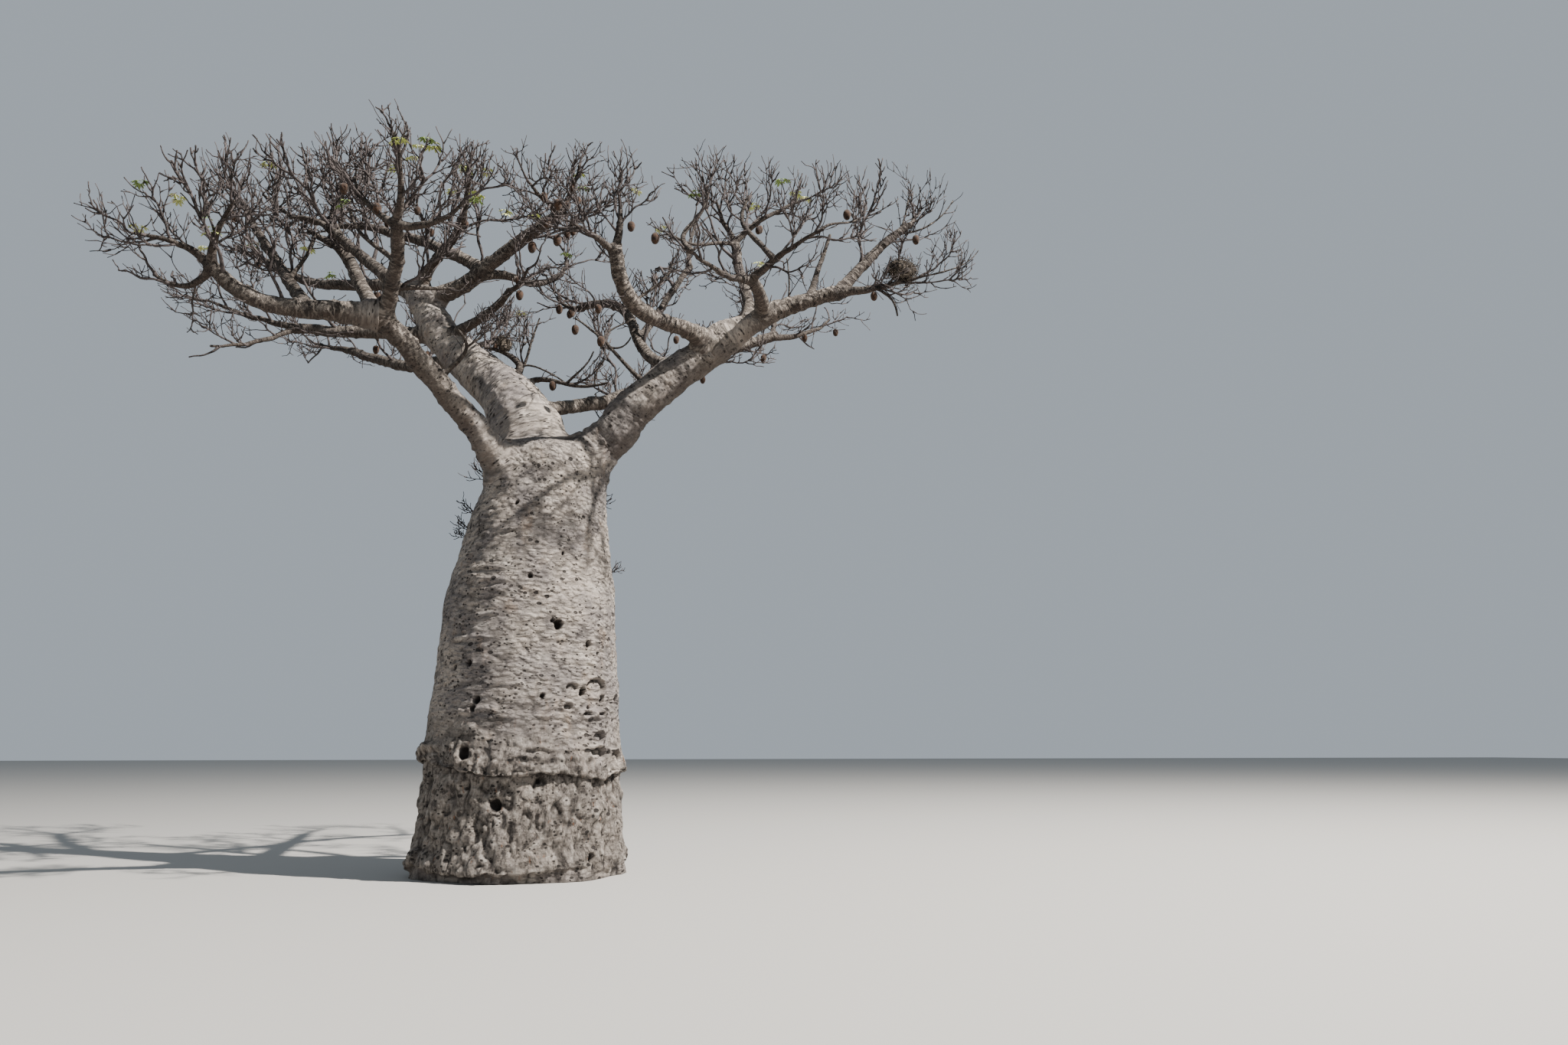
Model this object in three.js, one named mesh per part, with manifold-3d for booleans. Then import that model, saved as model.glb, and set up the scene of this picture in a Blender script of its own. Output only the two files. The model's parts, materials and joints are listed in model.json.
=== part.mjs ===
// A stout baobab in its dry season: a bottle-shaped trunk, three great limbs, a flat spreading crown of bare
// boughs, and masses of bare twigs with a few hanging fruits. Millimetres, +Z up, origin on the flat cut at
// ground level. The photograph looks along +Y, with +X to its right.
import * as THREE from "three";
import { mergeVertices } from "three/addons/utils/BufferGeometryUtils.js";
import Module from "manifold-3d";

const wasm = await Module();
wasm.setup();

// The trunk: at each height, its radius and how far its centre leans towards +X.
const TRUNK_STATIONS = [
  { height: 0, radius: 1590, lean: 30 },
  { height: 260, radius: 1575, lean: 30 },
  { height: 480, radius: 1500, lean: 55 },
  { height: 1360, radius: 1405, lean: 70 },
  { height: 1500, radius: 1440, lean: 60 },
  { height: 1640, radius: 1400, lean: 60 },
  { height: 3000, radius: 1310, lean: 90 },
  { height: 4000, radius: 1225, lean: 90 },
  { height: 4750, radius: 1085, lean: 140 },
  { height: 5400, radius: 955, lean: 215 },
  { height: 5900, radius: 870, lean: 285 },
  { height: 6180, radius: 700, lean: 300 },
];
const TRUNK_TOP = { height: 6330, lean: 300 };
const TRUNK_SIDES = 28;
const FLARE_HEIGHT = 420; // the root flare dies out over about this height
const FLARE_DEPTH = 55; // of the lobes between the roots at the ground
const FLARE_LOBES = 7;

// Clear space between pieces that meet, and between a twig and anything that it passes.
const SEAT_GAP = 0.4;
const TWIG_CLEARANCE = 45;

// Boughs, each grown from a parent: from the trunk at a root inside it, or from another bough at a share of
// its length. A bough runs to its tip with a bow (one curve off the straight line) and a sway (two curves).
// foot and end are its radii.
const BOUGHS = {
  left_limb: {
    parent: "trunk", root: [-260, -350, 5700],
    tip: [-2150, -1800, 7620], bow: [40, -10, 40], foot: 205, end: 140,
  },
  middle_limb: {
    parent: "trunk", root: [150, 180, 5950],
    tip: [-1950, 1900, 9310], bow: [110, 30, 50], sway: [90, -70, 100], foot: 480, end: 230,
  },
  right_limb: {
    parent: "trunk", root: [600, -80, 5750],
    tip: [2810, -550, 7970], bow: [-100, -80, 40], foot: 320, end: 268,
  },
  rear_right: {
    parent: "trunk", root: [450, 450, 6000],
    tip: [2050, 3900, 8420], bow: [70, -130, 60], foot: 165, end: 87,
  },
  left_shelf: {
    parent: "left_limb", at: 0.98,
    tip: [-4190, -2200, 7980], bow: [-80, 20, -210], sway: [30, 20, 60], foot: 155, end: 76,
  },
  left_shelf_fork: {
    parent: "left_shelf", at: 0.4,
    tip: [-3970, -800, 9080], bow: [20, 70, -40], foot: 82, end: 46,
  },
  front_mast: {
    parent: "left_limb", at: 0.96,
    tip: [-1830, -2800, 8530], bow: [80, 30, 0], foot: 100, end: 66,
  },
  inner_left: {
    parent: "left_limb", at: 0.99,
    tip: [-2970, -800, 9320], bow: [-30, -50, 20], foot: 90, end: 58,
  },
  middle_arch: {
    parent: "middle_limb", at: 0.95,
    tip: [360, 400, 10300], bow: [40, -10, -90], sway: [30, 20, -30], foot: 150, end: 72,
  },
  middle_arch_low: {
    parent: "middle_arch", at: 0.38,
    tip: [420, 2100, 9910], bow: [0, 70, -90], sway: [20, -50, 60], foot: 70, end: 38,
  },
  middle_back_sweep: {
    parent: "middle_arch", at: 0.42,
    tip: [-3030, 2400, 10630], bow: [90, 70, 110], foot: 96, end: 52,
  },
  middle_riser: {
    parent: "middle_limb", at: 0.99,
    tip: [-1160, 500, 10380], bow: [30, 40, 10], sway: [-50, 20, 60], foot: 83, end: 46,
  },
  middle_stub: {
    parent: "middle_limb", at: 0.74,
    tip: [-410, 200, 8830], bow: [0, -70, -90], sway: [0, 40, 50], foot: 81, end: 42,
  },
  left_low_bough: {
    parent: "middle_limb", at: 0.78,
    tip: [-3900, 2000, 8580], bow: [-10, 10, -30], foot: 120, end: 64,
  },
  left_high_bough: {
    parent: "middle_limb", at: 0.97,
    tip: [-4600, 3400, 10190], bow: [40, 110, -30], sway: [20, -50, 100], foot: 106, end: 54,
  },
  rear_left: {
    parent: "middle_limb", at: 0.64,
    tip: [-3200, 3700, 8780], bow: [50, 100, -180], foot: 110, end: 62,
  },
  rear_middle: {
    parent: "middle_limb", at: 0.5,
    tip: [-1300, 4300, 9150], bow: [-100, -30, 20], foot: 130, end: 76,
  },
  right_rear: {
    parent: "middle_limb", at: 0.3,
    tip: [4380, 2900, 9340], bow: [-130, 430, -200], sway: [40, -10, -120], foot: 122, end: 80,
  },
  right_spread: {
    parent: "right_limb", at: 0.98,
    tip: [4640, -1000, 8750], bow: [-50, -30, 100], foot: 190, end: 104,
  },
  right_rise: {
    parent: "right_spread", at: 0.98,
    tip: [5740, -1000, 9950], bow: [-30, 0, 30], foot: 84, end: 46,
  },
  right_inward: {
    parent: "right_limb", at: 0.95,
    tip: [1070, -1900, 8780], bow: [-160, -30, -290], sway: [80, 0, 110], foot: 130, end: 92,
  },
  right_back_fork: {
    parent: "right_limb", at: 0.8,
    tip: [730, 1700, 9160], bow: [60, -40, 100], sway: [-130, 30, -200], foot: 92, end: 52,
  },
  right_back_riser: {
    parent: "right_back_fork", at: 0.42,
    tip: [2560, 1200, 9870], bow: [-10, 10, 0], foot: 58, end: 40,
  },
  right_mast: {
    parent: "right_spread", at: 0.24,
    tip: [3180, 300, 10010], bow: [80, 20, -30], sway: [50, -20, 0], foot: 84, end: 62,
  },
  right_front_fork: {
    parent: "right_spread", at: 0.4,
    tip: [3100, -1600, 8590], bow: [30, 0, 50], foot: 100, end: 72,
  },
};

// Twig masses, each on the tip of a bough. The stem runs to its own tip, and the twigs that grow from it fill
// the space nearer to it than to any other stem. reach is about how far they get from it, foot is the stem's
// first radius, fruits says how many hang in it, and nest is a share of the stem that holds a bird's nest.
const MASSES = {
  twigs_left_reach: {
    bough: "left_shelf", tip: [-5010, -2400, 8230], bow: [30, 0, 100], foot: 52, reach: 950,
  },
  twigs_left_low: {
    bough: "left_shelf", tip: [-4930, -1900, 7890], bow: [30, 100, -170], foot: 48, reach: 760,
  },
  twigs_left_riser: {
    bough: "left_shelf", tip: [-3840, -2700, 8670], bow: [-70, -10, 0], foot: 60, reach: 880,
  },
  twigs_left_fork: {
    bough: "left_shelf_fork", tip: [-4400, -500, 9760], bow: [20, 0, 10], foot: 44, reach: 850, fruits: 1,
  },
  twigs_mast_top: {
    bough: "front_mast", tip: [-1800, -3400, 9400], bow: [50, -50, -40], foot: 50, reach: 600,
  },
  twigs_mast_right: {
    bough: "front_mast", tip: [-950, -3100, 8770], bow: [50, 0, -150], foot: 50, reach: 1000,
  },
  twigs_mast_left: {
    bough: "front_mast", tip: [-2430, -2500, 9230], bow: [-70, 20, -70], foot: 46, reach: 850, fruits: 1,
  },
  twigs_inner_up: {
    bough: "inner_left", tip: [-2840, -800, 10140], bow: [10, 0, 0], foot: 44, reach: 780,
  },
  twigs_inner_out: {
    bough: "inner_left", tip: [-4030, -200, 9880], bow: [-20, 80, -100], foot: 44, reach: 1100,
  },
  twigs_arch_top: {
    bough: "middle_arch", tip: [590, 0, 10930], bow: [40, 10, -10], foot: 50, reach: 600, fruits: 2,
  },
  twigs_arch_front: {
    bough: "middle_arch", tip: [-190, -600, 10290], bow: [-20, 10, 0], foot: 44, reach: 800, fruits: 2,
  },
  twigs_arch_low: {
    bough: "middle_arch_low", tip: [440, 3000, 10750], bow: [80, 10, -10], foot: 36, reach: 1200,
  },
  twigs_back_sweep: {
    bough: "middle_back_sweep", tip: [-4040, 2800, 10840], bow: [0, 30, -50], foot: 50, reach: 1250,
  },
  twigs_riser: {
    bough: "middle_riser", tip: [-1110, 100, 10760], bow: [0, -30, -20], foot: 44, reach: 600, fruits: 1,
  },
  twigs_stub: {
    bough: "middle_stub", tip: [-140, -300, 9020], bow: [40, 10, -40], foot: 40, reach: 900, fruits: 1,
  },
  twigs_low_out: {
    bough: "left_low_bough", tip: [-5290, 2100, 8990], bow: [0, 60, -20], foot: 50, reach: 1150,
  },
  twigs_low_finger: {
    bough: "left_low_bough", tip: [-4940, 1200, 7930], bow: [60, -20, -80], foot: 40, reach: 760,
  },
  twigs_high: {
    bough: "left_high_bough", tip: [-5360, 3800, 10650], bow: [10, 20, 0], foot: 50, reach: 1300,
  },
  twigs_rear_left: {
    bough: "rear_left", tip: [-4000, 4600, 9150], bow: [-20, 0, 0], foot: 54, reach: 1200,
  },
  twigs_rear_middle: {
    bough: "rear_middle", tip: [-1910, 5400, 9940], bow: [40, 20, 0], foot: 54, reach: 1450,
  },
  twigs_rear_centre: {
    bough: "rear_middle", tip: [-500, 5400, 9810], bow: [20, 0, -20], foot: 50, reach: 1350, fruits: 1,
  },
  twigs_rear_right: {
    bough: "rear_right", tip: [2850, 5000, 9350], bow: [-20, 10, 0], foot: 60, reach: 1500, fruits: 1,
  },
  twigs_right_rear: {
    bough: "right_rear", tip: [5510, 3200, 9830], bow: [50, -20, -130], foot: 56, reach: 1050, fruits: 1,
  },
  twigs_right_far: {
    bough: "right_rear", tip: [4640, 4300, 10360], bow: [50, 0, -20], foot: 50, reach: 1350,
  },
  twigs_right_rise: {
    bough: "right_rise", tip: [5860, -1000, 10120], bow: [20, 0, -20], foot: 44, reach: 620,
  },
  twigs_right_tip: {
    bough: "right_spread", tip: [5740, -1700, 8840], bow: [10, 10, -40], foot: 64, reach: 1200,
    fruits: 1, nest: 0.75,
  },
  twigs_inward_up: {
    bough: "right_inward", tip: [1100, -2100, 9510], bow: [40, 0, 0], foot: 60, reach: 800, fruits: 1,
  },
  twigs_inward_left: {
    bough: "right_inward", tip: [420, -2400, 8900], bow: [0, 10, 50], foot: 48, reach: 1000,
  },
  twigs_back_fork: {
    bough: "right_back_fork", tip: [360, 2100, 9460], bow: [0, 40, -70], foot: 46, reach: 1000, fruits: 2,
  },
  twigs_back_riser: {
    bough: "right_back_riser", tip: [2740, 1600, 10950], bow: [-70, 40, -10], foot: 38, reach: 1150,
  },
  twigs_mast_inward: {
    bough: "right_mast", tip: [2850, 250, 10650], bow: [-60, 20, 60], foot: 44, reach: 1080,
  },
  twigs_mast_outward: {
    bough: "right_mast", tip: [4300, 100, 10750], bow: [-50, -20, 70], foot: 46, reach: 1080, fruits: 1,
  },
  twigs_front_right: {
    bough: "right_front_fork", tip: [3930, -2700, 8990], bow: [-60, -30, 10], foot: 56, reach: 1150,
  },
  twigs_front_left: {
    bough: "right_front_fork", tip: [2030, -2700, 8530], bow: [10, -20, -120], foot: 50, reach: 1120,
  },
};

// How twigs branch. The first shoots leave the stem, each turned on by a golden angle from the one before. A
// shoot has two halves with a kink between them. One side shoot leaves it at the kink and three at its tip,
// each turning a little towards the sky. share is a first shoot's length as a share of its mass's reach, and
// a side shoot's as a share of its parent's length.
const GOLDEN_ANGLE = 2.39996;
const FIRST_SHOOTS = { count: 5, from: 0.3, angle: 1.0, share: 0.6 };
const SIDE_SHOOTS = { atTip: 3, angle: 0.72, share: 0.5 };
const LEVELS = 2; // of shoots
const KINK = 0.34;
const LIFT = 0.2;
const STEM_TIP_RADIUS = 16;
const STEM_SIDES = 4;
const STEM_PIECES = 3;
const TWIG_RADIUS = 21;
const KINK_BASE = 70; // along the twig, of the side shoot that leaves at the kink
const FIRST_SEED = 11;
const SPACE_TESTS = [0.3, 0.5, 0.75, 1]; // shares of a half shoot that are tested against its mass's space

// No twig rises over the crown's flat dome.
const CROWN = { top: 11800, centre: [0, 900], radius: 7200, droop: 1150 };

// Fruits hang from a twig on a thin stalk: how far below the twig each ring lies, and its radius.
const FRUIT_RINGS = [
  { below: 0, radius: 8 },
  { below: 190, radius: 8 },
  { below: 220, radius: 44 },
  { below: 290, radius: 62 },
  { below: 345, radius: 34 },
];
const FRUIT_SIDES = 5;

// A nest of sticks that sits on a stem: its centre lies above the stem's line.
const NEST = { width: 480, height: 440, rise: 225, sides: 8, rings: 6 };

const UP = new THREE.Vector3(0, 0, 1);
const EAST = new THREE.Vector3(1, 0, 0);
const point = (list) => new THREE.Vector3(...list);

const barkMaterial = (color) => new THREE.MeshStandardMaterial({ color, roughness: 0.9, metalness: 0 });
const TRUNK_MATERIAL = barkMaterial(0xa69c8e);
const BOUGH_MATERIAL = barkMaterial(0x8c8073);
const TWIG_MATERIAL = barkMaterial(0x5f564f);

// Numbers from 0 to 1 that repeat for the same seed.
function dice(seed) {
  let state = seed % 2147483647;
  return () => {
    state = (state * 16807) % 2147483647;
    return state / 2147483647;
  };
}

// The seed of a shoot's nth side shoot.
const seedOf = (seed, n) => ((seed + n + 1) * 48271) % 2147483647;

// A geometry as a manifold-3d solid.
function solidOf(geometry) {
  const bare = geometry.clone();
  bare.deleteAttribute("normal");
  bare.deleteAttribute("uv");
  const merged = mergeVertices(bare, 1e-3);
  return new wasm.Manifold(
    new wasm.Mesh({
      numProp: 3,
      vertProperties: merged.attributes.position.array,
      triVerts: new Uint32Array(merged.index.array),
    }),
  );
}

// A solid as a named mesh.
function meshOf(name, solid, material) {
  const { vertProperties, triVerts } = solid.getMesh();
  const geometry = new THREE.BufferGeometry();
  geometry.setAttribute("position", new THREE.BufferAttribute(vertProperties, 3));
  geometry.setIndex(new THREE.BufferAttribute(triVerts, 1));
  geometry.computeVertexNormals();
  const mesh = new THREE.Mesh(geometry, material);
  mesh.name = name;
  return mesh;
}

// A body of points and the triangles between them, each three indices, counterclockwise from outside.
function bodyOf(points, faces) {
  const geometry = new THREE.BufferGeometry();
  geometry.setAttribute("position", new THREE.Float32BufferAttribute(points.flatMap((p) => p.toArray()), 3));
  geometry.setIndex(faces);
  return geometry;
}

// A closed skin over rings of points, each ring with the same number of points, between two end points.
function skinOver(rings, firstPoint, lastPoint) {
  const sides = rings[0].length;
  const points = [firstPoint, ...rings.flat(), lastPoint];
  const faces = [];
  const last = points.length - 1;
  for (let k = 0; k < sides; k++) {
    const next = (k + 1) % sides;
    faces.push(0, 1 + next, 1 + k);
    for (let r = 0; r < rings.length - 1; r++) {
      const low = 1 + r * sides;
      const high = low + sides;
      faces.push(low + k, low + next, high + next, low + k, high + next, high + k);
    }
    faces.push(last - sides + k, last - sides + next, last);
  }
  return bodyOf(points, faces);
}

// A unit vector square to another, the closest to a third.
const squaredTo = (heading, side) => side.clone().addScaledVector(heading, -side.dot(heading)).normalize();

// Two unit vectors square to a heading.
function frameOf(heading) {
  const side = squaredTo(heading, Math.abs(heading.z) > 0.9 ? EAST : UP).cross(heading);
  return [side, heading.clone().cross(side)];
}

// A ring of points about a centre, square to a heading. The first one lies at an angle of turn from side.
function ringAt(centre, heading, side, reach, sides, turn = 0) {
  const across = heading.clone().cross(side);
  return Array.from({ length: sides }, (_, k) => {
    const angle = turn + (2 * Math.PI * k) / sides;
    return centre
      .clone()
      .addScaledVector(side, reach * Math.cos(angle))
      .addScaledVector(across, reach * Math.sin(angle));
  });
}

// A round limb along a line of points, with a radius at each, grown by a margin on all sides.
function roundLimb(line, radii, sides, margin = 0) {
  const end = line.length - 1;
  const headings = line.map((_, i) =>
    line[Math.min(i + 1, end)].clone().sub(line[Math.max(i - 1, 0)]).normalize(),
  );
  let side = new THREE.Vector3(0.31, 0.95, 0.05);
  const rings = line.map((centre, i) => {
    side = squaredTo(headings[i], side);
    return ringAt(centre, headings[i], side, radii[i] + margin / Math.cos(Math.PI / sides), sides);
  });
  rings[0].forEach((p) => p.addScaledVector(headings[0], -margin));
  rings[end].forEach((p) => p.addScaledVector(headings[end], margin));
  const first = line[0].clone().addScaledVector(headings[0], -margin);
  const last = line[end].clone().addScaledVector(headings[end], margin + radii[end] * 0.35);
  return skinOver(rings, first, last);
}

// The trunk's skin: stations joined by rings, with lobes between the roots that die out upwards. A margin
// grows it outwards and upwards, but not below the ground.
function trunkSkin(margin = 0) {
  const rings = TRUNK_STATIONS.map(({ height, radius, lean }, station) =>
    Array.from({ length: TRUNK_SIDES }, (_, k) => {
      const turn = (2 * Math.PI * k) / TRUNK_SIDES;
      const lobe = FLARE_DEPTH * Math.exp(-height / FLARE_HEIGHT) * Math.cos(FLARE_LOBES * turn + 0.6);
      const reach = radius + lobe + margin;
      const rise = station === TRUNK_STATIONS.length - 1 ? margin : 0;
      return new THREE.Vector3(lean + reach * Math.cos(turn), reach * Math.sin(turn), height + rise);
    }),
  );
  const top = new THREE.Vector3(TRUNK_TOP.lean, 0, TRUNK_TOP.height + margin);
  return skinOver(rings, new THREE.Vector3(TRUNK_STATIONS[0].lean, 0, 0), top);
}

// The point at a share of the way along a bough or stem.
function pointAlong({ start, tip, bow, sway }, share) {
  return start
    .clone()
    .lerp(tip, share)
    .addScaledVector(bow, 4 * share * (1 - share))
    .addScaledVector(sway, Math.sin(2 * Math.PI * share));
}

// A bough's or stem's line, with its radius at each point; it swells a little where it leaves its parent.
function lineOf(limb, pieces) {
  const line = [];
  const radii = [];
  for (let i = 0; i <= pieces; i++) {
    const share = (i / pieces) ** 1.15;
    const out = Math.max(0, limb.start.distanceTo(limb.tip) * share - limb.depth);
    const collar = 1 + 0.28 * Math.exp(-out / (1.3 * limb.foot));
    line.push(pointAlong(limb, share));
    radii.push((limb.foot + (limb.end - limb.foot) * share) * collar);
  }
  return { line, radii };
}

// Each bough's shape, with its start on its parent's centre line and how deep that lies in the parent.
const limbs = new Map();
for (const [name, bough] of Object.entries(BOUGHS)) {
  const parent = limbs.get(bough.parent);
  const start = parent ? pointAlong(parent, bough.at) : point(bough.root);
  const depth = parent ? parent.foot + (parent.end - parent.foot) * bough.at : bough.foot * 1.5;
  limbs.set(name, {
    ...bough,
    start,
    depth,
    tip: point(bough.tip),
    bow: point(bough.bow),
    sway: point(bough.sway ?? [0, 0, 0]),
  });
}

// Each mass's stem, from just inside its bough's tip.
const STEM_START = 0.985; // of the bough's length
const stems = new Map();
for (const [name, mass] of Object.entries(MASSES)) {
  const bough = limbs.get(mass.bough);
  stems.set(name, {
    start: pointAlong(bough, STEM_START),
    depth: 0,
    tip: point(mass.tip),
    bow: point(mass.bow),
    sway: point([0, 0, 0]),
    foot: mass.foot,
    end: STEM_TIP_RADIUS,
    reach: mass.reach,
    fruits: mass.fruits ?? 0,
    nest: mass.nest,
  });
}

// Cuts a solid clear of those that it meets, and keeps its largest piece.
function cutClear(solid, others) {
  const cut = others.reduce((left, other) => left.subtract(other), solid);
  return cut.decompose().reduce((best, piece) => (piece.volume() > best.volume() ? piece : best));
}

const boughSides = (limb) => Math.max(7, Math.min(14, Math.round(limb.foot / 30) + 4));
const boughPieces = (limb) => Math.max(4, Math.min(8, Math.round(limb.start.distanceTo(limb.tip) / 480)));

// How far a point lies from a limb's line, less its radii where they are given.
const stretch = new THREE.Line3();
const nearest = new THREE.Vector3();
function offLine({ line }, p, radii) {
  let least = Infinity;
  for (let i = 0; i < line.length - 1; i++) {
    stretch.set(line[i], line[i + 1]).closestPointToPoint(p, true, nearest);
    const radius = radii ? Math.max(radii[i], radii[i + 1]) : 0;
    least = Math.min(least, nearest.distanceTo(p) - radius);
  }
  return least;
}

// Whether a point lies under the crown's dome.
function underDome({ x, y, z }) {
  const out = Math.hypot(x - CROWN.centre[0], y - CROWN.centre[1]) / CROWN.radius;
  return z < CROWN.top - CROWN.droop * out * out;
}

// A heading bent away from another by an angle, towards a turn about it, and lifted to the sky.
function bent(heading, angle, turn) {
  const [side, across] = frameOf(heading);
  return heading
    .clone()
    .multiplyScalar(Math.cos(angle))
    .addScaledVector(side, Math.sin(angle) * Math.cos(turn))
    .addScaledVector(across, Math.sin(angle) * Math.sin(turn))
    .addScaledVector(UP, LIFT)
    .normalize();
}

// A shoot with the side shoots that leave it, or null where it would leave its space. inSpace says whether a
// stretch from one point to another keeps to it.
function growShoot(base, first, length, level, seed, inSpace) {
  const roll = dice(seed);
  const second = bent(first, KINK * (0.4 + roll()), 2 * Math.PI * roll());
  const middle = base.clone().addScaledVector(first, length / 2);
  const tip = middle.clone().addScaledVector(second, length / 2);
  if (!inSpace(base, middle) || !inSpace(middle, tip)) return null;
  const turn = 2 * Math.PI * roll();
  const shoot = { base, middle, tip, first, second, turn, level };
  if (level === LEVELS) return shoot;
  const sideShoot = (from, heading, n) => {
    const angle = SIDE_SHOOTS.angle * (0.7 + 0.6 * roll());
    const sideTurn = turn + (2 * Math.PI * (n + 0.5)) / SIDE_SHOOTS.atTip;
    const sideLength = length * SIDE_SHOOTS.share * (0.75 + 0.5 * roll());
    return growShoot(from, bent(heading, angle, sideTurn), sideLength, level + 1, seedOf(seed, n), inSpace);
  };
  shoot.atTip = Array.from({ length: SIDE_SHOOTS.atTip }, (_, n) => sideShoot(tip, second, n));
  shoot.atKink = sideShoot(middle, first, SIDE_SHOOTS.atTip);
  return shoot;
}

// The first shoots of a mass, along its stem.
function firstShoots({ line, reach }, seed, inSpace) {
  const roll = dice(seed);
  const phase = 2 * Math.PI * roll();
  const found = [];
  for (let n = 0; n < FIRST_SHOOTS.count; n++) {
    const step = (n + 0.5 * roll()) / (FIRST_SHOOTS.count - 0.5);
    const share = FIRST_SHOOTS.from + (1 - FIRST_SHOOTS.from) * step;
    const place = share * (line.length - 1);
    const from = Math.floor(place);
    const base = line[from].clone().lerp(line[from + 1], place - from);
    const along = line[from + 1].clone().sub(line[from]).normalize();
    const angle = FIRST_SHOOTS.angle * (1.1 - 0.5 * share) * (0.8 + 0.4 * roll());
    const length = reach * FIRST_SHOOTS.share * (0.85 + 0.3 * roll());
    const heading = bent(along, angle, phase + n * GOLDEN_ANGLE);
    found.push(growShoot(base, heading, length, 1, seedOf(seed, n), inSpace));
  }
  return found.filter(Boolean);
}

// A first shoot as one solid: a three-sided twig whose end face parts into three side shoots, with the fourth
// on its side just before the kink. Each side shoot comes to a point.
function twigSolid({ base, middle, tip, first, second, turn, atTip, atKink }) {
  const [side] = frameOf(second);
  const along = first.clone().add(second).normalize();
  const beforeKink = middle.clone().addScaledVector(first, -KINK_BASE);
  const rings = [
    ringAt(base, first, squaredTo(first, side), TWIG_RADIUS, 3, turn),
    ringAt(beforeKink, first, squaredTo(first, side), TWIG_RADIUS * 0.75, 3, turn),
    ringAt(middle, along, squaredTo(along, side), TWIG_RADIUS * 0.75, 3, turn),
    ringAt(tip, second, side, TWIG_RADIUS * 0.6, 3, turn),
  ];
  const points = rings.flat();
  const faces = [0, 2, 1];
  const raise = (shoot, corners) => {
    points.push(shoot.tip);
    const peak = points.length - 1;
    corners.forEach((corner, i) => faces.push(corner, corners[(i + 1) % corners.length], peak));
  };
  for (let r = 0; r < 3; r++) {
    for (let k = 0; k < 3; k++) {
      const corners = [3 * r + k, 3 * r + ((k + 1) % 3), 3 * r + 3 + ((k + 1) % 3), 3 * r + 3 + k];
      if (r === 1 && k === 0 && atKink) raise(atKink, corners);
      else faces.push(corners[0], corners[1], corners[2], corners[0], corners[2], corners[3]);
    }
  }
  points.push(tip.clone().addScaledVector(second, TWIG_RADIUS * 0.6));
  const centre = points.length - 1;
  atTip.forEach((shoot, k) => {
    const corners = [9 + k, 9 + ((k + 1) % 3), centre];
    if (shoot) raise(shoot, corners);
    else faces.push(...corners);
  });
  return solidOf(bodyOf(points, faces));
}

// A fruit on its stalk, hung below a point of a twig.
const hungFrom = (twigPoint) => FRUIT_RINGS.map(({ below }) => twigPoint.clone().addScaledVector(UP, -below));
const fruitRadii = FRUIT_RINGS.map(({ radius }) => radius);
const fruitSolid = (twigPoint) => solidOf(roundLimb(hungFrom(twigPoint), fruitRadii, FRUIT_SIDES));

// A stem's nest, or none.
function nestsOn(stem) {
  if (!stem.nest) return [];
  const { x, y, z } = pointAlong(stem, stem.nest);
  const nest = new THREE.SphereGeometry(NEST.width / 2, NEST.sides, NEST.rings).rotateX(Math.PI / 2);
  nest.scale(1, 1, NEST.height / NEST.width).translate(x, y, z + NEST.rise);
  return [solidOf(nest)];
}

// Says whether a stretch from one point to another keeps to a stem's own space: under the dome, nearer to
// this stem than to any other, and clear of every bough.
function spaceOf(stem) {
  const otherStems = [...stems.values()].filter((other) => other !== stem);
  const holds = (p) =>
    underDome(p) &&
    otherStems.every((other) => offLine(other, p) > offLine(stem, p) + TWIG_CLEARANCE) &&
    [...limbs.values()].every((limb) => offLine(limb, p, limb.radii) > TWIG_CLEARANCE);
  return (from, to) => SPACE_TESTS.every((share) => holds(from.clone().lerp(to, share)));
}

// A mass: its stem, its shoots, its nest, and fruits at the kinks of the first shoots that have room below.
function massSolid(stem, seed) {
  const inSpace = spaceOf(stem);
  const shoots = firstShoots(stem, seed, inSpace);
  const hung = shoots.filter(({ middle }) => inSpace(middle, hungFrom(middle).at(-1))).slice(0, stem.fruits);
  return wasm.Manifold.union([
    solidOf(roundLimb(stem.line, stem.radii, STEM_SIDES)),
    ...shoots.map(twigSolid),
    ...hung.map(({ middle }) => fruitSolid(middle)),
    ...nestsOn(stem),
  ]);
}

// The tree, piece by piece: each one is cut clear of those before it, and keeps a cutter for the next ones.
const tree = new THREE.Group();
const grown = [];

function addPiece(name, solid, cutter, material) {
  const { min, max } = solid.boundingBox();
  const met = grown.filter(({ box }) => [0, 1, 2].every((i) => box.min[i] < max[i] && box.max[i] > min[i]));
  tree.add(meshOf(name, cutClear(solid, met.map((piece) => piece.cutter)), material));
  grown.push({ cutter, box: cutter.boundingBox() });
}

addPiece("trunk", solidOf(trunkSkin()), solidOf(trunkSkin(SEAT_GAP)), TRUNK_MATERIAL);

for (const [name, limb] of limbs) {
  Object.assign(limb, lineOf(limb, boughPieces(limb)));
  const sides = boughSides(limb);
  const bough = solidOf(roundLimb(limb.line, limb.radii, sides));
  const cutter = solidOf(roundLimb(limb.line, limb.radii, sides, SEAT_GAP));
  addPiece(name, bough, cutter, BOUGH_MATERIAL);
}

for (const stem of stems.values()) Object.assign(stem, lineOf(stem, STEM_PIECES));

let seed = FIRST_SEED;
for (const [name, stem] of stems) {
  seed = seedOf(seed, 5);
  const cutter = solidOf(roundLimb(stem.line, stem.radii, STEM_SIDES, SEAT_GAP));
  addPiece(name, massSolid(stem, seed), cutter, TWIG_MATERIAL);
}

export default tree;
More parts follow.
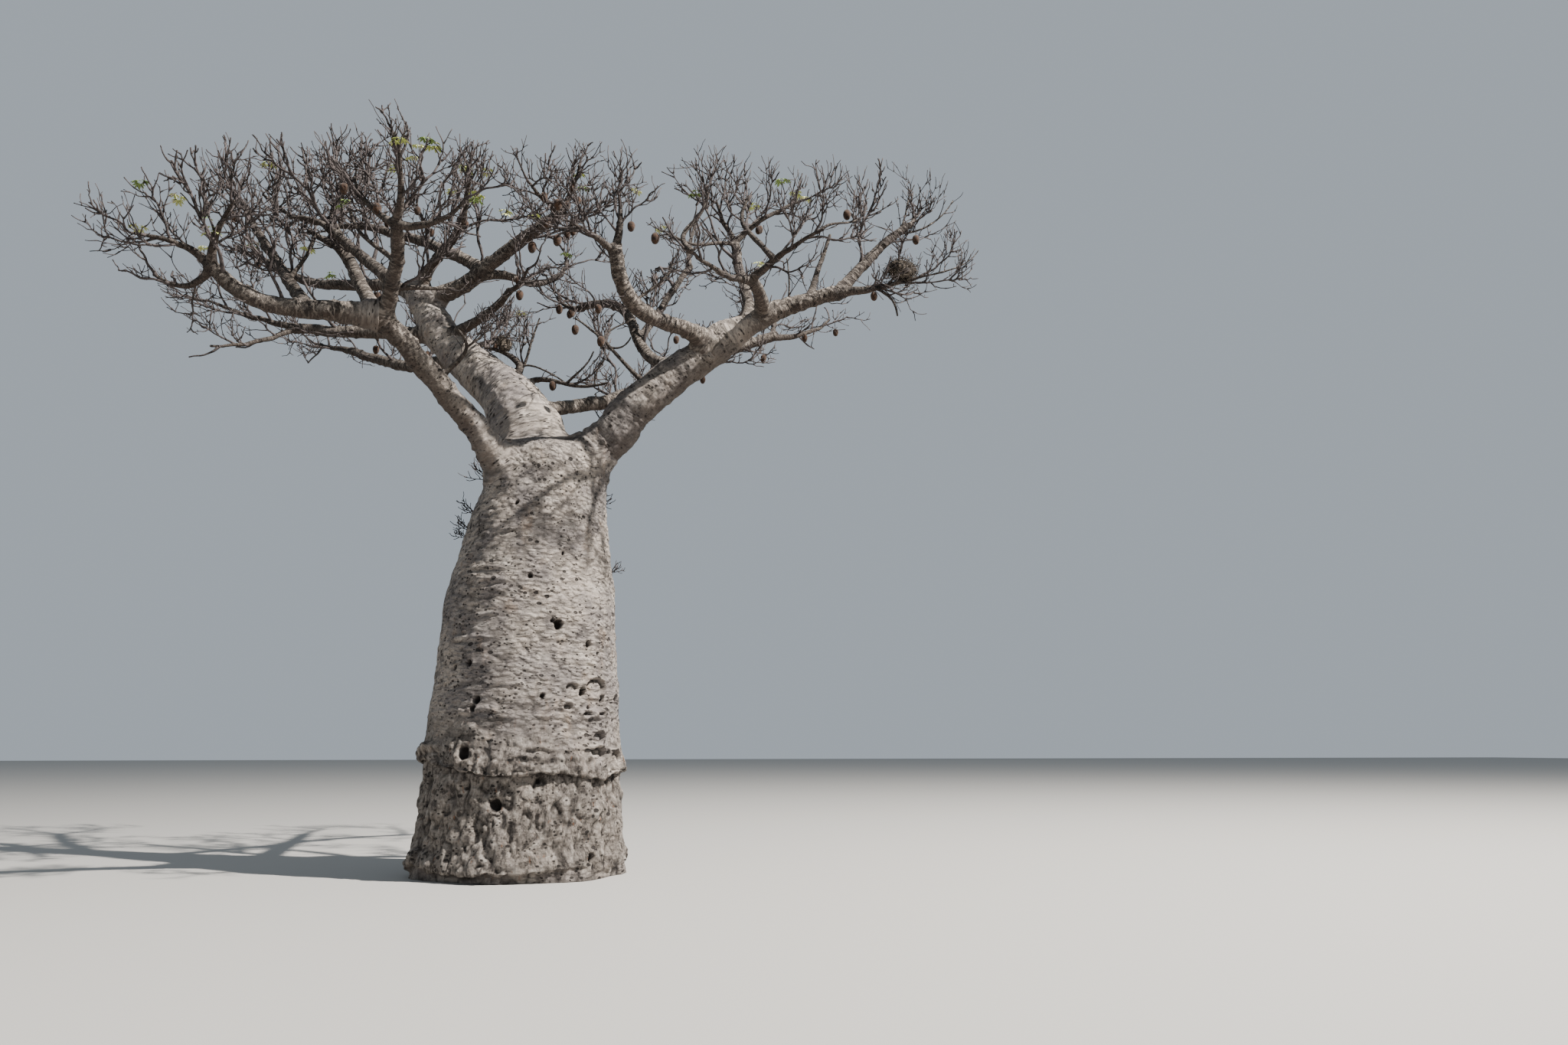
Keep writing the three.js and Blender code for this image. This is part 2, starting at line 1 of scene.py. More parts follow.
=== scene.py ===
"""A stout baobab in its dry season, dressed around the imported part: a wrinkled bottle-shaped trunk with a
harvested skirt, three great limbs, boughs, and masses of bare twigs with fruits, a few young leaf sprays and
two stick nests. Metres, +Z up, origin on the flat cut at ground level."""
import json
import math
from types import SimpleNamespace

import bpy
import numpy as np
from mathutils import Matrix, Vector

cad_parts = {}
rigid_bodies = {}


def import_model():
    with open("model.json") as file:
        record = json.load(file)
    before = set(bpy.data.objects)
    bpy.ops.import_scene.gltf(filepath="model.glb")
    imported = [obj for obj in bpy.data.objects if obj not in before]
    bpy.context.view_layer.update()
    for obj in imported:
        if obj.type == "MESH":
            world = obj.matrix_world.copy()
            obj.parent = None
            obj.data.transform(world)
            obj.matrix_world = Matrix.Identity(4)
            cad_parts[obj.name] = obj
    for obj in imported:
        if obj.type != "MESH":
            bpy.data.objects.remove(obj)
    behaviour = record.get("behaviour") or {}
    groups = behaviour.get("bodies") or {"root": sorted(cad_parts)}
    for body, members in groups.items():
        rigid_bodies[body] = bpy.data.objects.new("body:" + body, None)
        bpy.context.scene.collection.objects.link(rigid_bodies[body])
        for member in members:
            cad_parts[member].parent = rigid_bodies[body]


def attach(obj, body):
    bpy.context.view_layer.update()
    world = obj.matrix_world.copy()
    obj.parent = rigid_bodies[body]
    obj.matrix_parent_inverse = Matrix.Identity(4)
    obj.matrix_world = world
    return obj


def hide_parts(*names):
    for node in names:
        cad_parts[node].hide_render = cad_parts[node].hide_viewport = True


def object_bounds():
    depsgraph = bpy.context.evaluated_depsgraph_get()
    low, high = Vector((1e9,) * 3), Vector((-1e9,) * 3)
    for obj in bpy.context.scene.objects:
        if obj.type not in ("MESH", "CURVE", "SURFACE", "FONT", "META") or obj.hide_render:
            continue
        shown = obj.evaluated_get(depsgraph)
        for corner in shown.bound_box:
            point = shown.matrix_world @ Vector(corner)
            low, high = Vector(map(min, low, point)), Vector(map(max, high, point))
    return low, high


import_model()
CAD_BOX = [list(corner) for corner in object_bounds()]

# Camera, floor and light

CAMERA_PLACE = (0, -18.551, 1.8)
CAMERA_TURN = (math.radians(100.325), 0, math.radians(-11.998))
CAMERA_LENS = 28.125
SENSOR_WIDE = 36
PICTURE_WIDE = 2048
PICTURE_HIGH = 1365

camera = bpy.data.objects.new("camera", bpy.data.cameras.new("camera"))
camera.data.sensor_width = SENSOR_WIDE
camera.data.lens = CAMERA_LENS
camera.data.clip_end = 400
camera.location = CAMERA_PLACE
camera.rotation_euler = CAMERA_TURN
bpy.context.collection.objects.link(camera)
bpy.context.scene.camera = camera

FLOOR_HALF = 150
FLOOR_COLOUR = (0.33, 0.32, 0.305, 1)
SKY_COLOUR = (0.76, 0.86, 0.96, 1)
SKY_STRENGTH = 0.5
LAMPS = {  # place, what it points at, size across, watts and colour
    "key": ((28, -17, 43), (0, 0, 5), 0.8, 118000, (1.0, 0.955, 0.89)),
    "fill": ((-30, -26, 16), (0, 0, 6), 16, 700, (0.90, 0.95, 1.0)),
}


def link_mesh(name, mesh):
    piece = bpy.data.objects.new(name, mesh)
    bpy.context.collection.objects.link(piece)
    return piece


def make_floor():
    mesh = bpy.data.meshes.new("floor")
    h = FLOOR_HALF
    mesh.from_pydata([(-h, -h, 0), (h, -h, 0), (h, h, 0), (-h, h, 0)], [], [(0, 1, 2, 3)])
    paint = bpy.data.materials.new("floor_paint")
    paint.use_nodes = True
    shader = paint.node_tree.nodes["Principled BSDF"]
    shader.inputs["Base Color"].default_value = FLOOR_COLOUR
    shader.inputs["Roughness"].default_value = 0.9
    mesh.materials.append(paint)
    link_mesh("floor", mesh)


def aim(holder, target):
    away = [holder.location[i] - target[i] for i in range(3)]
    flat = math.hypot(away[0], away[1])
    holder.rotation_euler = (math.atan2(flat, away[2]), 0, math.atan2(away[0], -away[1]))


def make_lamp(name, place, target, size, power, colour):
    lamp = bpy.data.lights.new(name, "AREA")
    lamp.shape = "DISK"
    lamp.size = size
    lamp.energy = power
    lamp.color = colour
    holder = bpy.data.objects.new(name, lamp)
    holder.location = place
    aim(holder, target)
    bpy.context.collection.objects.link(holder)


def make_light():
    world = bpy.data.worlds.new("studio")
    world.use_nodes = True
    background = world.node_tree.nodes["Background"]
    background.inputs["Color"].default_value = SKY_COLOUR
    background.inputs["Strength"].default_value = SKY_STRENGTH
    bpy.context.scene.world = world
    for name, lamp in LAMPS.items():
        make_lamp(name, *lamp)


make_floor()
make_light()

# The tree's sizes, as in the part's source

# The trunk: at each height, its radius and how far its centre leans towards +X.
TRUNK_STATIONS = [
    (0, 1.52, 0.03), (0.26, 1.51, 0.03), (0.48, 1.485, 0.05), (1.36, 1.405, 0.07), (1.64, 1.40, 0.06),
    (3.0, 1.31, 0.09), (4.0, 1.225, 0.09), (4.75, 1.085, 0.14), (5.4, 0.955, 0.215), (5.9, 0.87, 0.285),
    (6.6, 0.80, 0.3),
]
STATION_HEIGHTS, STATION_RADII, STATION_LEANS = zip(*TRUNK_STATIONS)
TRUNK_TOP = 6.3
TOP_ROUNDING = 0.34

# Boughs: parent, where it leaves it, tip, bow, foot, end and any sway. A bough leaves the trunk at a place
# inside it, and another bough at a share of its length. It runs to its tip with a bow, one curve off the
# straight line, and a sway, two curves. foot and end are its radii.
BOUGHS = {
    "left_limb": ("trunk", (-0.26, -0.35, 5.7), (-2.15, -1.8, 7.62), (0.04, -0.01, 0.04), 0.205, 0.14),
    "middle_limb": (
        "trunk", (0.15, 0.18, 5.95), (-1.95, 1.9, 9.31), (0.11, 0.03, 0.05), 0.48, 0.23, (0.09, -0.07, 0.1),
    ),
    "right_limb": ("trunk", (0.6, -0.08, 5.75), (2.81, -0.55, 7.97), (-0.1, -0.08, 0.04), 0.32, 0.268),
    "rear_right": ("trunk", (0.45, 0.45, 6), (2.05, 3.9, 8.42), (0.07, -0.13, 0.06), 0.165, 0.087),
    "left_shelf": (
        "left_limb", 0.98, (-4.19, -2.2, 7.98), (-0.08, 0.02, -0.21), 0.155, 0.076, (0.03, 0.02, 0.06),
    ),
    "left_shelf_fork": ("left_shelf", 0.4, (-3.97, -0.8, 9.08), (0.02, 0.07, -0.04), 0.082, 0.046),
    "front_mast": ("left_limb", 0.96, (-1.83, -2.8, 8.53), (0.08, 0.03, 0), 0.1, 0.066),
    "inner_left": ("left_limb", 0.99, (-2.97, -0.8, 9.32), (-0.03, -0.05, 0.02), 0.09, 0.058),
    "middle_arch": (
        "middle_limb", 0.95, (0.36, 0.4, 10.3), (0.04, -0.01, -0.09), 0.15, 0.072, (0.03, 0.02, -0.03),
    ),
    "middle_arch_low": (
        "middle_arch", 0.38, (0.42, 2.1, 9.91), (0, 0.07, -0.09), 0.07, 0.038, (0.02, -0.05, 0.06),
    ),
    "middle_back_sweep": ("middle_arch", 0.42, (-3.03, 2.4, 10.63), (0.09, 0.07, 0.11), 0.096, 0.052),
    "middle_riser": (
        "middle_limb", 0.99, (-1.16, 0.5, 10.38), (0.03, 0.04, 0.01), 0.083, 0.046, (-0.05, 0.02, 0.06),
    ),
    "middle_stub": (
        "middle_limb", 0.74, (-0.41, 0.2, 8.83), (0, -0.07, -0.09), 0.081, 0.042, (0, 0.04, 0.05),
    ),
    "left_low_bough": ("middle_limb", 0.78, (-3.9, 2, 8.58), (-0.01, 0.01, -0.03), 0.12, 0.064),
    "left_high_bough": (
        "middle_limb", 0.97, (-4.6, 3.4, 10.19), (0.04, 0.11, -0.03), 0.106, 0.054, (0.02, -0.05, 0.1),
    ),
    "rear_left": ("middle_limb", 0.64, (-3.2, 3.7, 8.78), (0.05, 0.1, -0.18), 0.11, 0.062),
    "rear_middle": ("middle_limb", 0.5, (-1.3, 4.3, 9.15), (-0.1, -0.03, 0.02), 0.13, 0.076),
    "right_rear": (
        "middle_limb", 0.3, (4.38, 2.9, 9.34), (-0.13, 0.43, -0.2), 0.122, 0.08, (0.04, -0.01, -0.12),
    ),
    "right_spread": ("right_limb", 0.98, (4.64, -1, 8.75), (-0.05, -0.03, 0.1), 0.19, 0.104),
    "right_rise": ("right_spread", 0.98, (5.74, -1, 9.95), (-0.03, 0, 0.03), 0.084, 0.046),
    "right_inward": (
        "right_limb", 0.95, (1.07, -1.9, 8.78), (-0.16, -0.03, -0.29), 0.13, 0.092, (0.08, 0, 0.11),
    ),
    "right_back_fork": (
        "right_limb", 0.8, (0.73, 1.7, 9.16), (0.06, -0.04, 0.1), 0.092, 0.052, (-0.13, 0.03, -0.2),
    ),
    "right_back_riser": ("right_back_fork", 0.42, (2.56, 1.2, 9.87), (-0.01, 0.01, 0), 0.058, 0.04),
    "right_mast": (
        "right_spread", 0.24, (3.18, 0.3, 10.01), (0.08, 0.02, -0.03), 0.084, 0.062, (0.05, -0.02, 0),
    ),
    "right_front_fork": ("right_spread", 0.4, (3.1, -1.6, 8.59), (0.03, 0, 0.05), 0.1, 0.072),
}

# Twig masses: the bough whose tip each is on, its stem's tip, bow and foot, about how far its twigs reach
# from the stem, and any fruits that hang from its first shoots.
MASSES = {
    "twigs_left_reach": ("left_shelf", (-5.01, -2.4, 8.23), (0.03, 0, 0.1), 0.052, 0.95),
    "twigs_left_low": ("left_shelf", (-4.93, -1.9, 7.89), (0.03, 0.1, -0.17), 0.048, 0.76),
    "twigs_left_riser": ("left_shelf", (-3.84, -2.7, 8.67), (-0.07, -0.01, 0), 0.06, 0.88),
    "twigs_left_fork": ("left_shelf_fork", (-4.4, -0.5, 9.76), (0.02, 0, 0.01), 0.044, 0.85, 1),
    "twigs_mast_top": ("front_mast", (-1.8, -3.4, 9.4), (0.05, -0.05, -0.04), 0.05, 0.6),
    "twigs_mast_right": ("front_mast", (-0.95, -3.1, 8.77), (0.05, 0, -0.15), 0.05, 1),
    "twigs_mast_left": ("front_mast", (-2.43, -2.5, 9.23), (-0.07, 0.02, -0.07), 0.046, 0.85, 1),
    "twigs_inner_up": ("inner_left", (-2.84, -0.8, 10.14), (0.01, 0, 0), 0.044, 0.78),
    "twigs_inner_out": ("inner_left", (-4.03, -0.2, 9.88), (-0.02, 0.08, -0.1), 0.044, 1.1),
    "twigs_arch_top": ("middle_arch", (0.59, 0, 10.93), (0.04, 0.01, -0.01), 0.05, 0.6, 2),
    "twigs_arch_front": ("middle_arch", (-0.19, -0.6, 10.29), (-0.02, 0.01, 0), 0.044, 0.8, 2),
    "twigs_arch_low": ("middle_arch_low", (0.44, 3, 10.75), (0.08, 0.01, -0.01), 0.036, 1.2),
    "twigs_back_sweep": ("middle_back_sweep", (-4.04, 2.8, 10.84), (0, 0.03, -0.05), 0.05, 1.25),
    "twigs_riser": ("middle_riser", (-1.11, 0.1, 10.76), (0, -0.03, -0.02), 0.044, 0.6, 1),
    "twigs_stub": ("middle_stub", (-0.14, -0.3, 9.02), (0.04, 0.01, -0.04), 0.04, 0.9, 1),
    "twigs_low_out": ("left_low_bough", (-5.29, 2.1, 8.99), (0, 0.06, -0.02), 0.05, 1.15),
    "twigs_low_finger": ("left_low_bough", (-4.94, 1.2, 7.93), (0.06, -0.02, -0.08), 0.04, 0.76),
    "twigs_high": ("left_high_bough", (-5.36, 3.8, 10.65), (0.01, 0.02, 0), 0.05, 1.3),
    "twigs_rear_left": ("rear_left", (-4, 4.6, 9.15), (-0.02, 0, 0), 0.054, 1.2),
    "twigs_rear_middle": ("rear_middle", (-1.91, 5.4, 9.94), (0.04, 0.02, 0), 0.054, 1.45),
    "twigs_rear_centre": ("rear_middle", (-0.5, 5.4, 9.81), (0.02, 0, -0.02), 0.05, 1.35, 1),
    "twigs_rear_right": ("rear_right", (2.85, 5, 9.35), (-0.02, 0.01, 0), 0.06, 1.5, 1),
    "twigs_right_rear": ("right_rear", (5.51, 3.2, 9.83), (0.05, -0.02, -0.13), 0.056, 1.05, 1),
    "twigs_right_far": ("right_rear", (4.64, 4.3, 10.36), (0.05, 0, -0.02), 0.05, 1.35),
    "twigs_right_rise": ("right_rise", (5.86, -1, 10.12), (0.02, 0, -0.02), 0.044, 0.62),
    "twigs_right_tip": ("right_spread", (5.74, -1.7, 8.84), (0.01, 0.01, -0.04), 0.064, 1.2, 1),
    "twigs_inward_up": ("right_inward", (1.1, -2.1, 9.51), (0.04, 0, 0), 0.06, 0.8, 1),
    "twigs_inward_left": ("right_inward", (0.42, -2.4, 8.9), (0, 0.01, 0.05), 0.048, 1),
    "twigs_back_fork": ("right_back_fork", (0.36, 2.1, 9.46), (0, 0.04, -0.07), 0.046, 1, 2),
    "twigs_back_riser": ("right_back_riser", (2.74, 1.6, 10.95), (-0.07, 0.04, -0.01), 0.038, 1.15),
    "twigs_mast_inward": ("right_mast", (2.85, 0.25, 10.65), (-0.06, 0.02, 0.06), 0.044, 1.08),
    "twigs_mast_outward": ("right_mast", (4.3, 0.1, 10.75), (-0.05, -0.02, 0.07), 0.046, 1.08, 1),
    "twigs_front_right": ("right_front_fork", (3.93, -2.7, 8.99), (-0.06, -0.03, 0.01), 0.056, 1.15),
    "twigs_front_left": ("right_front_fork", (2.03, -2.7, 8.53), (0.01, -0.02, -0.12), 0.05, 1.12),
}

# How twigs branch, as in the part's source. The first shoots leave the stem, each turned on by a golden
# angle. A shoot has two halves with a kink between. One side shoot leaves it at the kink and three its tip.
GOLDEN_ANGLE = 2.39996
FIRST_COUNT = 5
FIRST_FROM = 0.3
FIRST_ANGLE = 1.0
FIRST_SHARE = 0.6
SIDE_AT_TIP = 3
SIDE_ANGLE = 0.72
SIDE_SHARE = 0.5
SOURCE_LEVELS = 2  # of shoots in the part's source
KINK = 0.34
LIFT = 0.2
STEM_TIP_RADIUS = 0.016
STEM_START = 0.985
STEM_PIECES = 3
FIRST_STEM_SEED = 40
FIRST_SIDE_SEED = 80
TWIG_CLEARANCE = 0.045
FIRST_SEED = 11
SPACE_TESTS = (0.3, 0.5, 0.75, 1)
CROWN_TOP = 11.8
CROWN_CENTRE_Y = 0.9
CROWN_RADIUS = 7.2
CROWN_DROOP = 1.15

# Here the twigs go on to finer ones: a source twig of the last level is cut to this share of its length, so
# that the finer ones end where it did.
LEVELS = 4
LAST_SOURCE_CUT = 0.5
FINE_CLEARANCE = 0.015
# Where the sky shows between the boughs: middle, half width and half height in the photograph's pixels.
OPENINGS = [
    (640, 322, 30, 30), (600, 408, 15, 20), (573, 405, 6, 16), (632, 384, 26, 9), (512, 412, 17, 17),
    (420, 347, 25, 16), (487, 333, 15, 9), (415, 418, 28, 7), (476, 448, 13, 8), (375, 386, 26, 5),
    (235, 346, 27, 9), (535, 352, 12, 10), (382, 345, 7, 9), (340, 407, 16, 6), (582, 350, 9, 7),
    (478, 306, 10, 9), (185, 285, 12, 7), (300, 358, 12, 5), (740, 450, 42, 34), (700, 470, 22, 12),
    (742, 510, 38, 8), (785, 370, 22, 13), (722, 326, 20, 15), (690, 392, 20, 9), (850, 334, 28, 17),
    (920, 398, 34, 20), (898, 272, 14, 20), (932, 284, 16, 14), (932, 337, 20, 9), (982, 326, 12, 17),
    (1012, 381, 20, 15), (870, 442, 18, 9), (818, 448, 20, 18), (1062, 401, 22, 11), (1020, 318, 20, 11),
    (1098, 334, 22, 16), (1130, 398, 24, 8), (1012, 282, 14, 7), (1080, 285, 12, 6), (812, 470, 20, 10),
    (690, 335, 12, 16), (1150, 330, 14, 10), (640, 250, 8, 10), (770, 340, 14, 8), (860, 275, 14, 10),
    (1040, 345, 14, 9), (700, 250, 7, 8), (560, 215, 10, 10),
    # beyond the crown's outline
    (235, 160, 62, 30), (335, 148, 58, 24), (960, 508, 60, 32), (275, 462, 62, 24), (385, 482, 48, 16),
    (500, 500, 32, 22), (1068, 466, 34, 22), (1282, 300, 20, 22), (1300, 350, 24, 30), (552, 146, 22, 26),
    (768, 168, 34, 14), (640, 165, 40, 18), (860, 165, 50, 22), (1150, 175, 60, 30),
]
# Smaller boughs that the part's source leaves out, as rows of the same kind.
SIDE_BOUGHS = {
    "nest_bough": (
        "middle_limb", 0.42, (-0.77, 0.95, 8.11), (0.41, -0.14, 0.08), 0.045, 0.02, (0.08, -0.08, -0.03),
    ),
    "nest_fork": (
        "middle_limb", 0.4, (0.06, 0.6, 8.54), (0.13, -0.02, -0.05), 0.026, 0.011, (0.04, 0.02, -0.01),
    ),
    "middle_finger": (
        "middle_limb", 0.4, (0.48, 0.4, 7.45), (-0.01, 0.01, 0.33), 0.018, 0.01, (0, 0.03, 0.06),
    ),
    "middle_spur": ("middle_limb", 0.34, (1.14, 0, 7.36), (-0.04, 0.02, 0.15), 0.046, 0.014, (0, 0, 0.11)),
    "spur_riser": (
        "middle_spur", 0.6, (0.91, 0.15, 7.9), (0.03, -0.02, -0.03), 0.02, 0.009, (-0.01, -0.02, 0),
    ),
    "spur_tip": ("middle_spur", 0.88, (1.08, 0, 7.74), (-0.04, 0.04, 0.02), 0.014, 0.008),
    "left_front": (
        "left_limb", 0.59, (-1.06, -1.4, 7.58), (0.17, 0.05, -0.01), 0.036, 0.014, (-0.05, 0.01, 0),
    ),
    "left_front_fork": ("left_front", 0.71, (-0.59, -1.2, 7.81), (0.03, -0.02, -0.02), 0.016, 0.009),
    "right_inner": (
        "right_limb", 0.6, (0.61, 0, 8.37), (0.01, 0.02, 0.04), 0.036, 0.012, (-0.02, 0.02, -0.01),
    ),
    "right_inner_out": (
        "right_inner", 0.68, (1.57, 0, 8.49), (-0.01, -0.03, 0.02), 0.014, 0.008, (-0.02, 0.03, 0.02),
    ),
    "right_inner_low": ("right_inner", 0.57, (1.45, -0.3, 8.02), (0.03, 0.01, -0.06), 0.014, 0.008),
    "mast_back": ("front_mast", 0.4, (-2.87, -1.6, 8.87), (0.02, 0.04, 0), 0.078, 0.046),
    "mast_back_out": ("mast_back", 0.97, (-3.41, -1.4, 9.05), (0.03, -0.01, 0.06), 0.036, 0.015),
    "inner_left_out": (
        "inner_left", 0.48, (-3.18, -1.2, 8.97), (0.02, -0.07, 0.03), 0.055, 0.024, (0.01, -0.02, 0.01),
    ),
    "mast_left_low": (
        "front_mast", 0.62, (-2.5, -2.15, 8.91), (-0.06, 0.05, -0.06), 0.033, 0.015, (0.02, -0.01, 0.01),
    ),
    "shelf_inner": (
        "left_shelf_fork", 0.4, (-3.07, -1.3, 8.89), (0.06, -0.06, -0.02), 0.03, 0.013, (0, -0.02, -0.01),
    ),
    "limb_crossing": (
        "left_limb", 1, (-1.14, -1.65, 8.1), (-0.06, -0.15, 0.13), 0.044, 0.013, (-0.02, -0.03, 0.04),
    ),
    "right_leader": (
        "twigs_front_left", 0.98, (2.32, -2.5, 9.47), (-0.11, 0.1, -0.02), 0.034, 0.016, (-0.07, 0.03, 0.01),
    ),
    "mast_cross": (
        "right_mast", 0.96, (2.1, -0.2, 9.79), (0.04, -0.05, -0.08), 0.03, 0.015, (0.01, -0.02, 0.04),
    ),
    "fork_riser": (
        "twigs_front_right", 0.39, (3.01, -1.9, 9.76), (-0.2, 0.04, -0.05), 0.04, 0.018, (0.04, -0.03, 0.01),
    ),
    "spread_riser": ("right_spread", 0.76, (4.53, -0.75, 9.79), (0, 0.06, -0.01), 0.05, 0.02),
    "fork_out": (
        "twigs_front_right", 0.94, (4.53, -2.5, 9.29), (-0.01, -0.04, 0.02), 0.02, 0.01,
        (-0.01, -0.01, 0.02),
    ),
    "spread_switch": ("right_spread", 0.59, (3.81, -0.85, 9.29), (0.03, 0, 0), 0.015, 0.009),
    "inward_out": (
        "right_inward", 0.69, (1.97, -1.4, 8.92), (0.07, 0.06, -0.05), 0.023, 0.01, (-0.03, 0.02, 0.01),
    ),
    "tip_droop": (
        "twigs_right_tip", 0.43, (5.39, -1.5, 8.25), (0.01, -0.1, 0.05), 0.021, 0.012, (-0.02, -0.02, -0.01),
    ),
    "tip_switch": (
        "twigs_right_tip", 0.92, (6.61, -1.8, 9.28), (0.05, -0.06, -0.1), 0.013, 0.007, (-0.02, 0, 0.01),
    ),
    "rise_out": ("right_rise", 0.86, (6.52, -1, 10.46), (0.08, 0, -0.12), 0.015, 0.007),
    "rise_up": ("right_rise", 0.86, (5.87, -1, 10.66), (0.01, 0, -0.01), 0.014, 0.007, (0.02, 0, -0.01)),
}
# Sprays of twigs straight from the trunk's bark: turn in degrees, height and length.
BARK_SPRAYS = [
    (-173, 5.72, 0.34), (-170, 5.9, 0.26), (-174, 5.2, 0.24), (-171, 4.95, 0.28), (-178, 4.84, 0.2),
    (-8, 4.36, 0.18), (100, 5.4, 0.34), (62, 4.9, 0.26), (140, 4.4, 0.24), (25, 5.5, 0.3),
]

# Fine twigs keep inside this box, a little over the solids' own.
CROWN_MARGIN = np.array([0.22, 0.2, 0.2])
CROWN_UNDERSIDE = 6.6
CROWN_LOW = np.array([*(CAD_BOX[0] - CROWN_MARGIN)[:2], CROWN_UNDERSIDE])
CROWN_HIGH = CAD_BOX[1] + CROWN_MARGIN

UP = (0.0, 0.0, 1.0)
EAST = (1.0, 0.0, 0.0)

# Sums with points


def moved(point, heading, distance):
    return tuple(p + h * distance for p, h in zip(point, heading))


def unit(v):
    size = math.sqrt(v[0] * v[0] + v[1] * v[1] + v[2] * v[2])
    return (v[0] / size, v[1] / size, v[2] / size)


def dot(a, b):
    return a[0] * b[0] + a[1] * b[1] + a[2] * b[2]


def cross(a, b):
    return (a[1] * b[2] - a[2] * b[1], a[2] * b[0] - a[0] * b[2], a[0] * b[1] - a[1] * b[0])


def squared_to(heading, side):
    return unit(moved(side, heading, -dot(side, heading)))


def frame_of(heading):
    side = cross(squared_to(heading, EAST if abs(heading[2]) > 0.9 else UP), heading)
    return side, cross(heading, side)


def bent(heading, angle, turn, lift=LIFT):
    side, across = frame_of(heading)
    v = moved((0, 0, 0), heading, math.cos(angle))
    v = moved(v, side, math.sin(angle) * math.cos(turn))
    v = moved(v, across, math.sin(angle) * math.sin(turn))
    return unit(moved(v, UP, lift))


def towards(a, b):
    return unit(tuple(q - p for p, q in zip(a, b)))


def dice(seed):
    """A roll that gives the next number from 0 to 1 of the seed's own row."""
    state = [seed % 2147483647]

    def roll():
        state[0] = state[0] * 16807 % 2147483647
        return state[0] / 2147483647

    return roll


def drawn(span, roll):
    low, high = span
    return low + (high - low) * roll()


def seed_of(seed, n):
    return (seed + n + 1) * 48271 % 2147483647


def seen_at(points):
    """Where points show in the photograph, in its pixels."""
    pitch = CAMERA_TURN[0] - math.pi / 2
    yaw = -CAMERA_TURN[2]
    ahead = np.array([math.sin(yaw) * math.cos(pitch), math.cos(yaw) * math.cos(pitch), math.sin(pitch)])
    right = np.array([math.cos(yaw), -math.sin(yaw), 0])
    above = np.cross(right, ahead)
    away = points - np.array(CAMERA_PLACE)
    scale = PICTURE_WIDE * CAMERA_LENS / SENSOR_WIDE / (away @ ahead)
    across, up = scale * (away @ right), scale * (away @ above)
    return np.stack([PICTURE_WIDE / 2 + across, PICTURE_HIGH / 2 - up], axis=-1)


def unit_rows(v):
    """The unit vector of each row of v, or of v alone."""
    return v / np.maximum(np.linalg.norm(v, axis=-1, keepdims=True), 1e-9)


def smooth_step(low, high, x):
    t = np.clip((x - low) / (high - low), 0, 1)
    return t * t * (3 - 2 * t)


def bump(x, wide):
    """1 at 0, fading out over wide on both sides."""
    return np.exp(-((x / wide) ** 2))


# Unevenness that repeats for the same place

LATTICE_SIZE = 48
LATTICE = np.random.default_rng(7).uniform(-1, 1, (LATTICE_SIZE, LATTICE_SIZE, LATTICE_SIZE))
# Turns places away from the lattice's own directions, so that none of them shows.
LATTICE_TURN = np.array([[0.36, 0.48, -0.8], [-0.8, 0.6, 0.0], [0.48, 0.64, 0.6]])


def uneven(points, wavelength, shift=0.0):
    """A soft random value from -1 to 1 at each point; wavelength may differ along each axis."""
    p = (points / np.asarray(wavelength)) @ LATTICE_TURN + shift * 17.31 + 0.5
    low = np.floor(p).astype(int)
    t = p - low
    t = t * t * t * (t * (6 * t - 15) + 10)
    low %= LATTICE_SIZE
    high = (low + 1) % LATTICE_SIZE
    (x0, y0, z0), (x1, y1, z1), (tx, ty, tz) = (np.moveaxis(v, -1, 0) for v in (low, high, t))

    def across(y, z):
        return LATTICE[x0, y, z] * (1 - tx) + LATTICE[x1, y, z] * tx

    near = across(y0, z0) * (1 - ty) + across(y1, z0) * ty
    far = across(y0, z1) * (1 - ty) + across(y1, z1) * ty
    return near * (1 - tz) + far * tz


def creases(points, wavelength, shift=0.0, width=0.45):
    """0 on rounded ridges, down to -1 along thin creases."""
    return np.minimum(np.abs(uneven(points, wavelength, shift)) / width, 1) ** 0.7 - 1


# Limbs: their lines, radii and space


def path(limb, share):
    """Points at shares of the way along a limb."""
    t = np.asarray(share, float)[..., None]
    bends = limb.bow * (4 * t * (1 - t)) + limb.sway * np.sin(2 * math.pi * t)
    return limb.start * (1 - t) + limb.tip * t + bends


def crooked_path(limb, share):
    """The same with the small bends of real wood, which fade out at both ends."""
    t = np.asarray(share, float)
    keep = (np.sin(math.pi * np.clip(t, 0, 1)) ** 0.5)[..., None]
    along = (t * limb.length)[..., None] * np.ones(3)
    bends = [uneven(along + limb.seed * 3.7 + 11 * axis, limb.bend, axis) for axis in range(3)]
    return path(limb, t) + np.stack(bends, axis=-1) * keep * limb.wobble


def radius_along(limb, share):
    t = np.asarray(share, float)
    out = np.maximum(0, limb.length * t - limb.depth)
    collar = 1 + 0.28 * np.exp(-out / (1.3 * limb.foot))
    return (limb.foot + (limb.end - limb.foot) * t) * collar


def add_line(limb, pieces):
    """Gives a limb its line of straight pieces, shorter near its foot, as in the part's source."""
    share = (np.arange(pieces + 1) / pieces) ** LINE_GROWTH
    limb.line = path(limb, share)
    limb.line_shares = share
    limb.radii = radius_along(limb, share)


def clamp(value, low, high):
    return max(low, min(high, value))


LINE_GROWTH = 1.15
LINE_STEP = 0.48
STEM_WOBBLE = 0.022
STEM_BEND = 0.35
limbs = {}
stems = {}


def set_shape(limb, tip, bow, sway=(0, 0, 0)):
    limb.tip, limb.bow, limb.sway = (np.array(v, float) for v in (tip, bow, sway))
    limb.length = float(np.linalg.norm(limb.tip - limb.start))


